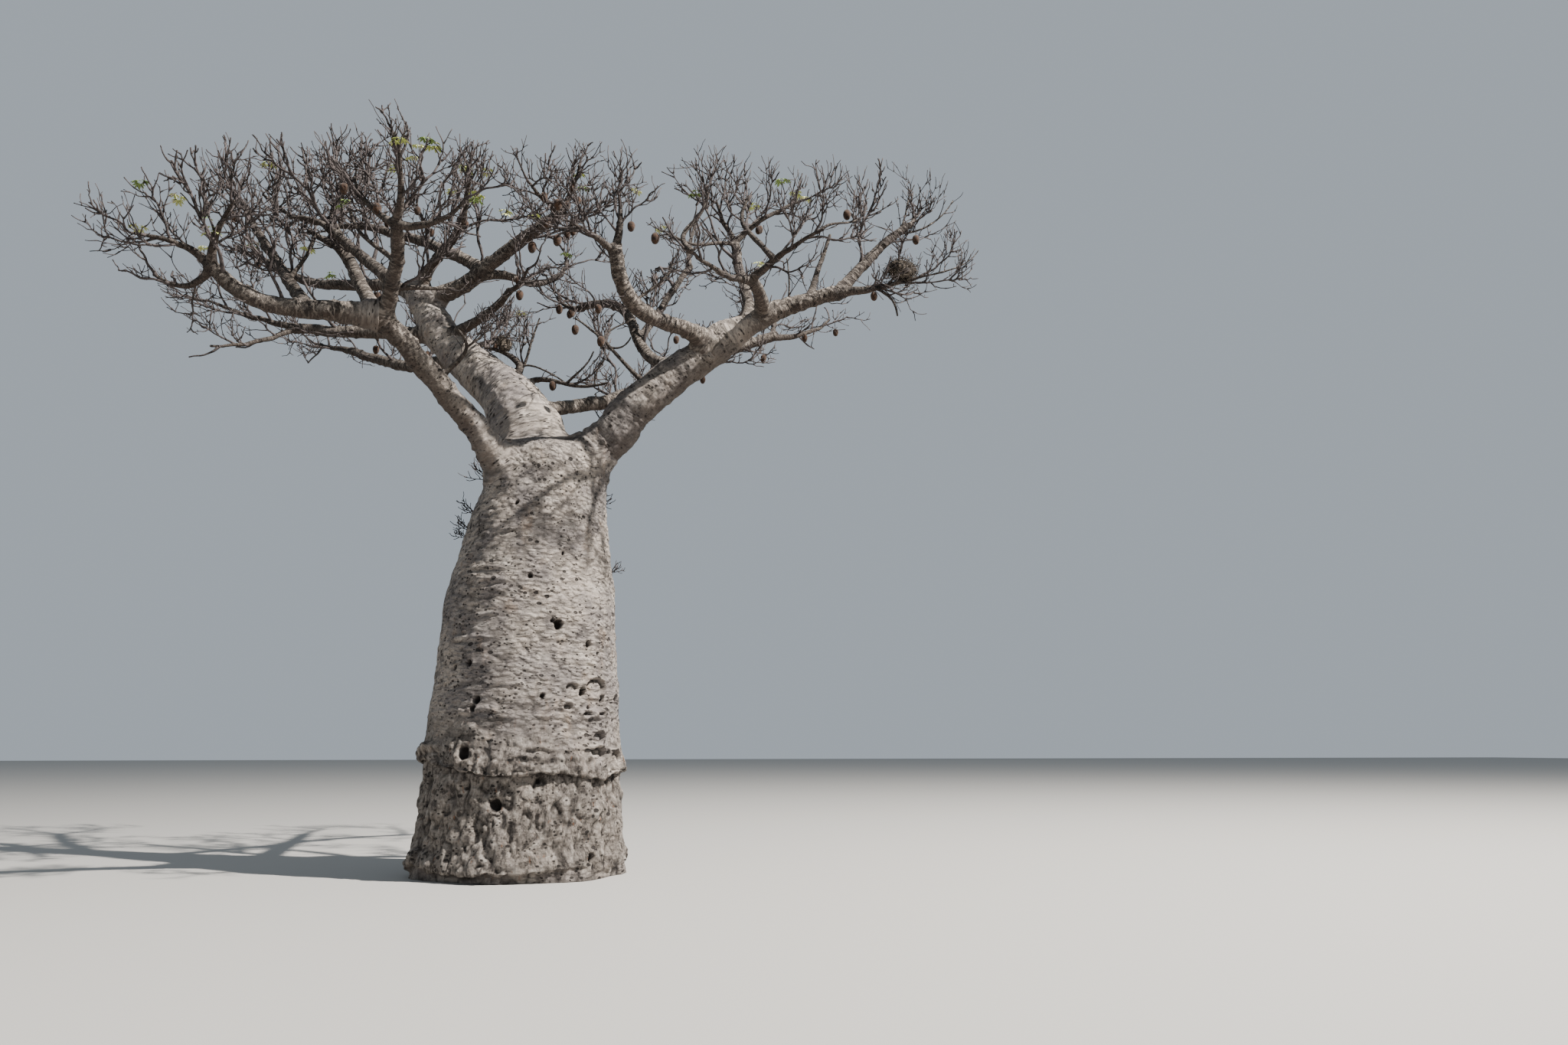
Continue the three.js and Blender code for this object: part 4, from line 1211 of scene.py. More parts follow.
def limb_rings(limb, columns, step):
    """Rings along a limb and over its round end: their centres, radii, the limb's direction there, the rays
    out to their columns, and how far along the limb they lie."""
    share = np.linspace(0, 1, int(limb.length / step))
    line = crooked_path(limb, share)
    radii = radius_along(limb, share)
    along = unit_rows(np.gradient(line, axis=0))
    side = np.empty_like(line)
    held = np.array(squared_to(tuple(along[0]), (0.31, 0.95, 0.05)))
    for i in range(len(line)):
        held = held - along[i] * held.dot(along[i])
        held /= np.linalg.norm(held)
        side[i] = held
    cap = np.radians(CAP_ANGLES)
    line = np.concatenate([line, line[-1] + along[-1] * limb.end * np.sin(cap)[:, None]])
    radii = np.concatenate([radii, limb.end * np.cos(cap)])
    along, side = (np.concatenate([v, np.repeat(v[-1:], len(cap), axis=0)]) for v in (along, side))
    across = np.cross(along, side)
    angle = turns_of(columns)[:, None]
    ray = side[:, None] * np.cos(angle) + across[:, None] * np.sin(angle)
    length = np.concatenate([[0], np.cumsum(np.linalg.norm(np.diff(line, axis=0), axis=1))])
    # With their bark, small boughs look stouter.
    return line, radii * (1 + 0.2 * smooth_step(0.13, 0.06, radii)), along, ray, length


def limb_relief(limb, skin, mean, length, behind):
    """How far a limb's bark stands out: wrinkles across it, deeper near forks, dimples, knobs, and the
    lengthwise folds of an old limb's skin; and the painted shade in its creases, stronger near forks."""
    here = length[:, None] * np.ones(skin.shape[1])
    angle = turns_of(skin.shape[1])
    winding = np.stack([np.cos(angle) * mean, np.sin(angle) * mean], -1)[None] * np.ones((len(length), 1, 1))
    unrolled = np.concatenate([winding, here[..., None]], axis=-1) + limb.seed * 5.1
    near_fork = np.exp(-np.abs(behind) / (1.2 * mean))
    wrinkle = creases(unrolled, (mean * 1.3, mean * 1.3, clamp(mean * 0.5, 0.03, 0.1)), 1)
    where = smooth_step(-0.1, 0.5, uneven(skin, 0.3 + mean, 6)) + near_fork
    relief = wrinkle * clamp(0.06 * mean, 0.0015, 0.009) * np.clip(where, 0, 1.6)
    dimple = 0.03 + 0.16 * mean
    relief += uneven(skin, dimple * 2.2, 5) * clamp(0.07 * mean, 0.002, 0.014)
    relief += uneven(skin, dimple, 12) * clamp(0.05 * mean, 0.002, 0.01)
    relief += np.maximum(uneven(skin, 0.05 + 0.3 * mean, 8) - 0.4, 0) * clamp(0.42 * mean, 0.009, 0.045)
    folded = LIMB_FOLDS.get(limb.name, 0)
    if folded:
        run = np.concatenate([winding, here[..., None] * 0.26], axis=-1) + 3.0
        ripple = creases(run + 0.12 * uneven(skin, 0.3, 2)[..., None], 0.085, 3, 0.5)
        at_foot = bump(here - 0.75, 0.4)
        foot_folds = creases(np.concatenate([winding * 0.2, here[..., None]], -1), 0.105, 4, 0.6)
        relief += folded * (0.011 * ripple + 0.024 * foot_folds * at_foot)
        wrinkle = np.minimum(wrinkle, ripple * 0.7)
    return relief, np.clip(-wrinkle * (0.12 + 0.6 * near_fork), 0, 1)


def grow_limb_skin(limb):
    """The bark of one limb as (points, quads, triangles, uv, values)."""
    mean = (limb.foot + limb.end) / 2
    columns = int(clamp(2 * math.pi * mean / SKIN_FACE_WIDE, 10, 110)) // 2 * 2
    line, radii, along, ray, length = limb_rings(limb, columns, clamp(mean * 0.24, *SKIN_FACE_LONG))
    origin = np.repeat(line[:, None], columns, axis=1)
    near = neighbours(limb)
    from_trunk = limb.parent == "trunk" or limb.name == "right_rear"

    def gaps_at(p):
        others = [(off_limb(other, p), soft) for other, soft in near]
        if from_trunk:
            others.append((off_trunk(p), blend_at_trunk(limb)))
        return off_limb(limb, p), others

    base = np.repeat(radii[:, None], columns, axis=1)
    skin = origin + ray * base[..., None]
    swell = uneven(skin, 0.2 + 1.4 * mean, limb.seed) * 0.055 + uneven(skin, 0.07 + 0.5 * mean, 3) * 0.03
    reach, behind = grown_out(origin, ray, base, base * 1.5 + 0.03, gaps_at)
    skin = origin + ray * reach[..., None]
    normal = grid_normals(skin)
    relief, crease_shade = limb_relief(limb, skin, mean, length, behind)
    skin = skin + normal * (relief + swell * base)[..., None]
    ends = [line[0] - along[0] * 0.001, line[-1] + along[-1] * limb.end * 0.02]
    body = closed_body(skin, ends)
    # Painted shade in the creases and where this limb meets another or the trunk.
    cavity = crease_shade * 0.6 + np.exp(-np.abs(behind) / 0.028) * 0.5
    tone = smooth_step(0.26, 0.045, radii)[:, None] * np.ones(columns)
    values = {
        "cavity": np.append(cavity, [0, 0]),
        "tone": np.append(tone, tone[[0, -1], 0]),
        "folded": np.full(len(body[0]), float(LIMB_FOLDS.get(limb.name, 0))),
        # Painted shade on the undersides, from the normals.
        "under": np.append(smooth_step(0.05, 0.85, -normal[..., 2]), [0, 0]),
    }
    return *body, grid_uv(2 * math.pi * mean / columns, length, columns), values


def joined_skins(name, family, material):
    bodies, uvs, values = zip(*((skin[:3], *skin[3:]) for skin in map(grow_limb_skin, family)))
    corners = [4 * len(quads) for _, quads, _ in bodies]
    uv = [pairs[:n] for pairs, n in zip(uvs, corners)] + [pairs[n:] for pairs, n in zip(uvs, corners)]
    values = {key: np.concatenate([each[key] for each in values]) for key in values[0]}
    return mesh_of(name, *joined(bodies), [material], np.concatenate(uv), values)


# The trunk's own marks

# Where the bark was harvested below, its edge overhangs: height of that edge at each turn round the trunk.
LEDGE_LINE = [
    (-180, 1.60), (-156, 1.61), (-126, 1.45), (-108, 1.386), (-91, 1.406), (-75, 1.434), (-44, 1.349),
    (-23, 1.412), (10, 1.47), (60, 1.40), (110, 1.52), (150, 1.56), (180, 1.60),
]
LEDGE_MEAN = 1.45
FLARE_DEPTH = 0.05
FLARE_HEIGHT = 0.42
FLARE_LOBES = 7

# Climbing pegs left these holes: turn in degrees, height, half width and depth.
PEG_HOLES = [
    (-111.4, 5.231, 0.034, 0.06), (-72.8, 3.47, 0.068, 0.13), (-76.5, 3.52, 0.034, 0.07),
    (-51.4, 3.205, 0.052, 0.12), (-42.8, 3.087, 0.032, 0.09), (-127.8, 2.923, 0.042, 0.1),
    (-139.0, 2.868, 0.038, 0.09), (-120.1, 2.417, 0.056, 0.12), (-122.1, 2.303, 0.046, 0.1),
    (-81.5, 2.469, 0.032, 0.08), (-56.8, 2.535, 0.052, 0.12), (-40.1, 2.451, 0.052, 0.1),
    (-51.5, 2.316, 0.03, 0.08), (-124.4, 1.70, 0.085, 0.12), (-81.6, 1.33, 0.036, 0.06),
    (-104.3, 1.018, 0.085, 0.09), (-49.8, 0.30, 0.07, 0.1), (-33.0, 2.1, 0.03, 0.07),
    (-148.0, 2.62, 0.03, 0.07), (-92.0, 4.15, 0.036, 0.07), (-70.0, 4.5, 0.024, 0.05),
    (164, 3.1, 0.046, 0.1), (151, 2.2, 0.05, 0.11), (128, 2.9, 0.044, 0.1), (104, 2.35, 0.05, 0.1),
    (86, 3.4, 0.048, 0.11), (61, 2.6, 0.05, 0.1), (40, 3.3, 0.042, 0.09), (22, 2.4, 0.052, 0.11),
    (2, 3.0, 0.044, 0.1), (-14, 2.2, 0.04, 0.09), (118, 4.2, 0.034, 0.08), (70, 4.7, 0.034, 0.07),
]
# Healed cuts: turn, height, half width, half height, how far the rim stands out.
RING_SCARS = [
    (-63.8, 2.583, 0.12, 0.085, 0.02), (-45.9, 2.6, 0.21, 0.15, 0.024), (-66.0, 2.319, 0.09, 0.075, 0.02),
    (-43.9, 1.906, 0.14, 0.105, 0.028), (-45.2, 1.684, 0.15, 0.115, 0.028), (-28, 1.607, 0.16, 0.14, 0.028),
    (-52.0, 2.23, 0.12, 0.05, 0.018), (-40.0, 2.24, 0.11, 0.045, 0.018), (-25.0, 2.42, 0.1, 0.12, 0.02),
    (48.0, 2.2, 0.16, 0.12, 0.02), (96.0, 1.95, 0.14, 0.11, 0.024), (138.0, 2.55, 0.17, 0.13, 0.02),
]
# Long folds across the trunk: turn, half span in degrees, height, how far they stand out.
FOLDS = [
    (-113, 22, 4.857, 0.014), (-122, 18, 4.25, 0.012), (-124, 20, 4.17, 0.013), (-122, 20, 4.07, 0.014),
    (-126, 20, 3.96, 0.012), (-70, 60, 3.92, 0.008), (-128, 24, 3.26, 0.018), (-48, 34, 2.97, 0.016),
    (-130, 40, 2.27, 0.016), (-75, 45, 2.2, 0.012), (-110, 40, 2.62, 0.008), (-95, 70, 3.62, 0.007),
    (30, 60, 3.4, 0.012), (90, 50, 4.3, 0.012), (130, 60, 2.9, 0.014), (80, 60, 2.4, 0.012),
    (10, 40, 4.6, 0.01), (150, 40, 3.8, 0.012), (45, 50, 5.0, 0.01), (-20, 40, 3.7, 0.008),
    (-60, 40, 1.78, 0.016), (-142, 30, 1.79, 0.034), (-75, 30, 1.66, 0.022), (120, 40, 1.74, 0.03),
    (30, 30, 1.62, 0.026),
]
# The ledge's lip from under it outwards: how far it stands out, its height and its place along the bark.
LIP = [
    (-0.16, 0.035, -0.2), (-0.05, 0.02, -0.08), (0.0, 0.004, -0.03), (0.036, -0.006, 0.0),
    (0.056, 0.01, 0.015), (0.064, 0.028, 0.03),
]
LEDGE_ROLL = 0.075
SHELL_TOP = 5.7
LIMBS_FROM = 4.55
SKIRT_TOP = 1.76
FOOT_ROLL = 0.075
FOOT_ROLL_HEIGHT = 0.15
UNDERCUT = 0.095
TRUNK_COLUMNS = 420
COLUMN_TURNS = math.pi / 2 + turns_of(TRUNK_COLUMNS)
TRUNK_GIRTH = 2 * math.pi * 1.3  # about, for the bark's pattern
# Rows of the outer bark over the ledge and of the foot, closer together at their lower ends.
SHELL_ROWS = [(0.045, 0.5, 0.0145), (0.5, SHELL_TOP - LEDGE_MEAN, 0.0235)]
SKIRT_ROWS = [(0, 0.42, 0.0125), (0.42, SKIRT_TOP, 0.0165)]


def turned(degrees):
    """Turns folded to lie between -180 and 180 degrees."""
    return (degrees + 180) % 360 - 180


def round_trunk(turns, radius=1.0):
    """Level points round the trunk's middle, or its rays out."""
    return np.stack([radius * np.cos(turns), radius * np.sin(turns), 0 * turns], axis=-1)


def ledge_height(turns):
    low = np.interp(turned(np.degrees(turns)), *zip(*LEDGE_LINE))
    places = round_trunk(turns, 1.45)
    return low + 0.026 * uneven(places, 0.19, 2) + 0.018 * uneven(places, 0.07, 4)


def across_mark(points, turns, turn, height):
    """How far each point lies from a mark, along the girth and upwards."""
    girth = np.radians(turned(np.degrees(turns) - turn)) * trunk_radius(height)
    return girth, points[..., 2] - height


def peg_hole(points, turns, turn, height, half, depth):
    """How far a hole with its low rim stands out, and the painted shade inside it."""
    u, v = across_mark(points, turns, turn, height)
    away = np.hypot(u, v * 0.92) / half / (1 + 0.22 * uneven(points, 0.06, 9))
    hole = 1 - smooth_step(0.55, 1.12, away)
    return bump(away - 1.35, 0.3) * 0.006 * (half / 0.05) - hole * depth, hole * 1.6


def off_scar(points, turns, turn, height, half_wide, half_high):
    """How far points lie outside a scar's rim, and how high on it."""
    u, v = across_mark(points, turns, turn, height)
    gap = (np.hypot(u / half_wide, v / half_high) - 1) * math.sqrt(half_wide * half_high)
    return gap, v / half_high


def ring_scar(points, turns, *place, lift):
    """A raised rim, strongest at its top, round a groove that holds painted shade."""
    gap, up = off_scar(points, turns, *place)
    rim = bump(gap, 0.028) * (0.75 + 0.35 * np.clip(up, -1, 1))
    groove = bump(gap + 0.046, 0.02) * np.clip(up + 0.75, 0, 1)
    return 2.6 * lift * rim - 1.8 * lift * groove, groove


def fold(points, turns, turn, span, height, lift):
    """A wavy fold that fades out at both ends, over a groove with a little painted shade in it."""
    wavy = points[..., 2] - height - 0.045 * uneven(points, (0.45, 0.45, 9), turn)
    wavy -= 0.02 * uneven(points, (0.12, 0.12, 9), turn)
    reach = 1 - smooth_step(0.6, 1, np.abs(turned(np.degrees(turns) - turn)) / span)
    strong = reach * np.clip(0.7 + 0.9 * uneven(points, 0.22, turn), 0, 1.4)
    wide = 0.018 + 1.1 * lift
    groove = bump(wavy + 1.6 * wide, 0.7 * wide) * strong
    return 1.6 * lift * bump(wavy, wide) * strong - 0.8 * lift * groove, groove * 0.25


def trunk_marks(points, turns):
    """How far all the marks stand out at each point, and the painted shade in their holes and grooves."""
    marks = [peg_hole(points, turns, *row) for row in PEG_HOLES]
    marks += [ring_scar(points, turns, *place, lift=lift) for *place, lift in RING_SCARS]
    marks += [fold(points, turns, *row) for row in FOLDS]
    return sum(out for out, _ in marks), np.max([dark for _, dark in marks], axis=0)


def near_scars(points, turns):
    """1 within a scar's rim, fading out round it."""
    gaps = [off_scar(points, turns, *place)[0] for *place, _ in RING_SCARS]
    return bump(np.maximum(np.min(gaps, axis=0), 0), 0.07)


def lumpy(points):
    """The rough, knobbly inner bark: how far it stands out, and its dark cracks, partly painted shade."""
    cracks = creases(points, (0.14, 0.14, 0.3), 2, 0.3)
    knobs = uneven(points, (0.12, 0.12, 0.2), 1)
    out = 0.038 * knobs + 0.03 * cracks
    out += 0.018 * uneven(points, (0.055, 0.055, 0.08), 3) + 0.03 * uneven(points, 0.38, 4)
    # Dark in the cracks, partly painted shade, and painted shade on the low sides of the knobs.
    return out, np.clip(-cracks * 1.1, 0, 1) + 0.3 * smooth_step(0.25, 0.7, -knobs)


def wrinkled(points):
    """The outer bark: dimples all over it and shallow wrinkles across it, with painted shade in the
    wrinkles.
    """
    fine = creases(points, (0.34, 0.34, 0.07), 1, 0.45)
    broad = creases(points, (1.1, 1.1, 0.24), 6, 0.32)
    where = smooth_step(-0.3, 0.45, uneven(points, (0.8, 0.8, 0.5), 5))
    out = 0.008 * fine * (0.2 + where) + 0.010 * broad + 0.024 * uneven(points, (0.9, 0.9, 0.55), 7)
    out += 0.007 * uneven(points, (0.2, 0.2, 0.1), 8) + 0.006 * uneven(points, (0.1, 0.1, 0.062), 9)
    # Painted shade in the wrinkles.
    return out, np.clip(-fine * (0.1 + 0.5 * where), 0, 1) * 0.45 + np.clip(-broad, 0, 1) * 0.25


def leaning(height):
    """The trunk's centre at heights."""
    return np.stack([trunk_lean(height), 0 * height, height], axis=-1)


def finish_trunk_piece(name, points, ends, along, cavity, material, rough):
    uv = grid_uv(TRUNK_GIRTH / TRUNK_COLUMNS, along, TRUNK_COLUMNS)
    values = {"cavity": np.append(np.clip(cavity, 0, 1.6), [0, 0]), "rough": np.append(rough, [0, 0])}
    return mesh_of(name, *closed_body(points, ends), [material], uv, values)


def row_places(spans):
    return np.concatenate([np.arange(*span) for span in spans])


def shell_rows(turns, ledge):
    """Rows of the bark from under the ledge's lip up to where the limbs part: their centres, rays, how far
    out they lie and their places along the bark."""
    above = row_places(SHELL_ROWS)
    keep = 1 - smooth_step(0.0, 1.2, above)
    height = LEDGE_MEAN + above[:, None] + (ledge - LEDGE_MEAN) * keep[:, None]
    roll = LEDGE_ROLL * bump(above - 0.1, 0.13) + 0.02 * np.exp(-above / 0.5)
    uneven_roll = 0.75 + 0.5 * uneven(round_trunk(turns, 1.45), 0.16, 11)
    lip_out, lip_rise, lip_along = (np.array(column)[:, None] for column in zip(*LIP))
    lip_reach = trunk_radius(ledge) + 0.012 + lip_out
    reach = np.concatenate([lip_reach, trunk_radius(height) + roll[:, None] * uneven_roll])
    height = np.concatenate([ledge + lip_rise, height])
    along = LEDGE_MEAN + np.concatenate([lip_along[:, 0], above])
    ray = np.repeat(round_trunk(turns)[None], len(height), axis=0)
    return leaning(height), ray, reach, along


def crown_rows(turns):
    """The same over the trunk's crown, on rays that fan up from its middle."""
    rise = np.radians(np.linspace(0, 88, 40)[1:])[:, None, None]
    ray = round_trunk(turns) * np.cos(rise) + np.array(UP) * np.sin(rise)
    origin = np.broadcast_to(leaning(SHELL_TOP), ray.shape)
    reach = np.full(ray.shape[:2], 0.25)
    for _ in range(24):
        reach = reach - off_trunk(origin + ray * reach[..., None])
    return origin, ray, reach, SHELL_TOP + 0.87 * rise.ravel()


def grow_trunk_shell(material):
    """The outer bark of the trunk, from the ledge up to where the limbs part."""
    turns = COLUMN_TURNS
    ledge = ledge_height(turns)
    origin, ray, reach, along = map(np.concatenate, zip(shell_rows(turns, ledge), crown_rows(turns)))
    rooted = [limb for limb in limbs.values() if limb.parent == "trunk"]

    def gaps_at(p):
        return off_trunk(p), [(off_limb(limb, p), blend_at_trunk(limb)) for limb in rooted]

    upper = origin[:, 0, 2] > LIMBS_FROM
    behind = np.full(reach.shape, -FAR)
    plain = reach[upper]
    reach[upper], behind[upper] = grown_out(origin[upper], ray[upper], plain, plain + 0.2, gaps_at)
    points = origin + ray * reach[..., None]
    turns = np.broadcast_to(turns, reach.shape)
    normal = grid_normals(points)
    out, dark = wrinkled(points)
    knobs, cracks = lumpy(points)
    marks, mark_dark = trunk_marks(points, turns)
    scarred = near_scars(points, turns)
    rough = 1 - smooth_step(0.05, 0.85, points[..., 2] - ledge + 0.25 * uneven(points, 0.4, 12))
    rough = rough * (1 - 0.85 * scarred)
    out = out * (1 - 0.5 * rough) * (1 - 0.75 * scarred) + knobs * rough * 0.9 + marks
    out[: len(LIP)] *= np.linspace(0, 1, len(LIP))[:, None]
    # Dark cracks, partly painted shade, between the knobs; painted shade under the ledge's lip, its first
    # rows, and where the limbs part from the trunk.
    dark = dark + cracks * rough * 0.6
    dark[:3] = 1.2
    dark = np.maximum(dark, mark_dark) + 0.45 * np.exp(-np.abs(behind) / 0.035)
    points = points + normal * out[..., None]
    ends = [leaning(LEDGE_MEAN) + [0, 0, 0.05], points[-1].mean(axis=0) + [0, 0, 0.003]]
    return finish_trunk_piece("trunk_bark", points, ends, along, dark, material, rough)


def grow_trunk_skirt(material):
    """The harvested foot of the trunk, from the ground to a little over the ledge, whose bark hides its top.
    It has a knobbly roll near the ground, hollow under it on two sides."""
    turns = COLUMN_TURNS
    low = row_places(SKIRT_ROWS)
    height = np.repeat(low[:, None], TRUNK_COLUMNS, axis=1)
    places = round_trunk(turns, 1.5)
    degrees = turned(np.degrees(turns))
    sunk = 0.02 + 0.98 * bump(degrees + 125, 42) + 0.6 * bump(degrees - 95, 50)
    foot_line = FOOT_ROLL_HEIGHT + 0.075 * uneven(places, 0.5, 1) + 0.035 * uneven(places, 0.16, 2)
    over = height - foot_line
    roll = smooth_step(-0.012, 0.03, over) * (1 - smooth_step(0.1, 0.3, over))
    uneven_roll = 1 + 0.7 * uneven(places, 0.34, 3) + 0.5 * uneven(places, 0.12, 5)
    roll_out = FOOT_ROLL * (0.3 + 0.7 * np.minimum(sunk, 1)) * uneven_roll
    hollow_in = (1 - smooth_step(-0.035, 0.025, over)) * UNDERCUT * sunk
    lobes = FLARE_DEPTH * np.exp(-height / FLARE_HEIGHT) * np.cos(FLARE_LOBES * turns + 0.6)
    reach = trunk_radius(height) - 0.012 + roll_out * roll - hollow_in + lobes
    # The edge of the roll hangs a little over the hollow under it.
    near_edge = over / 0.03
    keep_ground = smooth_step(0, 0.06, height)
    height = height - 0.022 * near_edge * bump(near_edge, 1) * sunk * keep_ground
    points = leaning(height) + round_trunk(turns) * reach[..., None]
    knobs, cracks = lumpy(points)
    marks, mark_dark = trunk_marks(points, np.broadcast_to(turns, reach.shape))
    knobbly = 0.35 + 0.65 * smooth_step(-0.03, 0.04, over)
    normal = grid_normals(points)
    normal[..., 2] *= keep_ground
    points = points + normal * (knobs * knobbly + marks)[..., None]
    points[..., 2] = np.maximum(points[..., 2], 0)
    points[0, :, 2] = 0
    # Painted shade under the ledge's lip and in the hollow under the roll; the cracks between the knobs are
    # partly painted shade.
    under_ledge = ledge_height(turns) - points[..., 2]
    shade = np.exp(-np.maximum(under_ledge, 0) / 0.03) * 0.9
    hollow = bump(over + 0.03, 0.035) * sunk * 0.8
    dark = np.max([cracks * 0.75, mark_dark, shade, hollow], axis=0)
    ends = [(STATION_LEANS[0], 0, 0), leaning(SKIRT_TOP)]
    return finish_trunk_piece("trunk_foot", points, ends, low, dark, material, knobbly)


# Finishes


class Finish:
    """A material under construction: its nodes, colour and heights so far, and short ways to add to them."""

    def __init__(self, name, roughness):
        self.material = bpy.data.materials.new(name)
        self.material.use_nodes = True
        self.tree = self.material.node_tree
        self.shader = self.tree.nodes["Principled BSDF"]
        self.shader.inputs["Roughness"].default_value = roughness
        self.shader.inputs["Specular IOR Level"].default_value = 0.25
        self.places = self.tree.nodes.new("ShaderNodeTexCoord").outputs["Object"]
        self.heights = []

    def add(self, kind, inputs, **settings):
        node = self.tree.nodes.new("ShaderNode" + kind)
        for key, value in settings.items():
            setattr(node, key, value)
        for key, value in inputs.items():
            if isinstance(value, bpy.types.NodeSocket):
                self.tree.links.new(value, node.inputs[key])
            else:
                node.inputs[key].default_value = value
        return node

    def shaken(self, where, scale, by):
        """The same places, pushed about a little."""
        noise = {"Vector": where, "Scale": scale, "Detail": 2}
        push = self.add("TexNoise", noise).outputs["Color"]
        push = self.add("VectorMath", {0: push, 3: by}, operation="SCALE").outputs[0]
        return self.add("VectorMath", {0: where, 1: push}, operation="ADD").outputs[0]

    def stretched(self, where, scale):
        return self.add("Mapping", {"Vector": where, "Scale": scale}).outputs["Vector"]

    def noise(self, where, scale, detail, rough=0.55):
        noise = {"Vector": where, "Scale": scale, "Detail": detail, "Roughness": rough}
        return self.add("TexNoise", noise).outputs["Fac"]

    def between(self, value, low, high, to_low=0.0, to_high=1.0):
        """A soft step as value goes from low to high."""
        span = {"Value": value, "From Min": low, "From Max": high, "To Min": to_low, "To Max": to_high}
        return self.add("MapRange", span, interpolation_type="SMOOTHSTEP").outputs["Result"]

    def result_of(self, operation, *values):
        return self.add("Math", dict(enumerate(values)), operation=operation).outputs[0]

    def times(self, a, b):
        return self.result_of("MULTIPLY", a, b)

    def value_of(self, name):
        return self.add("Attribute", {}, attribute_name=name).outputs["Fac"]

    def mixed(self, share, a, b):
        return self.add("Mix", {0: share, 6: a, 7: b}, data_type="RGBA").outputs[2]

    def tint(self, share, colour):
        self.colour = self.mixed(share, self.colour, colour)

    def finish(self):
        """Sets the colour and a bump for each (height, strength, distance). A strength under 0 is a dent."""
        self.tree.links.new(self.colour, self.shader.inputs["Base Color"])
        below = {}
        for height, strength, distance in self.heights:
            inputs = {"Height": height, "Strength": abs(strength), "Distance": distance, **below}
            below = {"Normal": self.add("Bump", inputs, invert=strength < 0).outputs["Normal"]}
        self.tree.links.new(below["Normal"], self.shader.inputs["Normal"])
        return self.material


PALE_BARK = (0.31, 0.27, 0.235, 1)
GREY_BARK = (0.165, 0.146, 0.138, 1)
# Whitish bark, also used for painted highlight on the tops of knots.
WHITE_BARK_AND_HIGHLIGHT = (0.46, 0.418, 0.375, 1)
# Dark bark marks, also used for painted shade in creases, holes, hollows and folds.
DARK_BARK_AND_SHADE = (0.02, 0.016, 0.015, 1)
WARM_BARK = (0.235, 0.165, 0.115, 1)
# Painted shade on the undersides of limbs and boughs.
UNDERSIDE_SHADE = (0.055, 0.038, 0.03, 1)
BOUGH_PALE = (0.20, 0.172, 0.148, 1)
BOUGH_DARK = (0.026, 0.02, 0.0175, 1)
INNER_BARK = (0.25, 0.108, 0.048, 1)
TWIG_DARK = (0.019, 0.015, 0.014, 1)
TWIG_BROWN = (0.064, 0.052, 0.05, 1)
TWIG_GREY = (0.135, 0.115, 0.115, 1)
FRUIT_DARK = (0.013, 0.008, 0.006, 1)
FRUIT_BROWN = (0.052, 0.026, 0.014, 1)
STICK_DARK = (0.014, 0.011, 0.009, 1)
STICK_PALE = (0.12, 0.098, 0.077, 1)
LEAF_COLOURS = {  # the lighter and the darker green of each kind of leaf
    "young_leaf": ((0.38, 0.42, 0.12, 1), (0.26, 0.31, 0.08, 1)),
    "pale_leaf": ((0.48, 0.50, 0.21, 1), (0.36, 0.40, 0.14, 1)),
    "older_leaf": ((0.18, 0.25, 0.06, 1), (0.12, 0.19, 0.045, 1)),
}


def pits(f, scale, low, high, rows):
    """Small dark pits scattered over bark, wider than high by rows."""
    spread = {"Vector": f.stretched(f.around, (1, rows, 1)), "Scale": scale, "Randomness": 1.0}
    cells = f.add("TexVoronoi", spread).outputs["Distance"]
    size = f.between(f.noise(f.around, scale * 0.3, 2), 0.38, 0.66, low, high)
    return f.between(f.result_of("SUBTRACT", cells, size), 0.05, -0.03)


def scales(f, stretch):
    """Low rounded scales set close together: 0 in the cracks between them and 1 on their crests."""
    spread = {"Vector": f.stretched(f.shaken(f.around, 3.0, 0.12), stretch), "Scale": 1.0, "Smoothness": 0.5}
    cells = f.add("TexVoronoi", spread, feature="SMOOTH_F1").outputs["Distance"]
    return f.between(cells, 0.72, 0.16)


def patches(f, low, high, *noise):
    """Soft-edged patches of a noise over the whole tree."""
    return f.between(f.noise(f.places, *noise), low, high)


def drifting_bark(name):
    """Bark whose colour drifts slowly from grey to pale and whitish, with a few warm stains."""
    f = Finish(name, 0.88)
    f.around = f.add("UVMap", {}, uv_map="bark").outputs["UV"]
    f.colour = f.mixed(patches(f, 0.4, 0.6, 1.3, 6, 0.62), GREY_BARK, PALE_BARK)
    clouds = f.between(f.noise(f.stretched(f.places, (1, 1, 1.8)), 2.6, 6, 0.62), 0.5, 0.7)
    f.tint(f.times(clouds, 0.45), WHITE_BARK_AND_HIGHLIGHT)
    stains = f.between(f.noise(f.stretched(f.places, (1, 1, 0.5)), 3.4, 5, 0.65), 0.55, 0.72)
    f.tint(f.times(stains, 0.5), WARM_BARK)
    return f


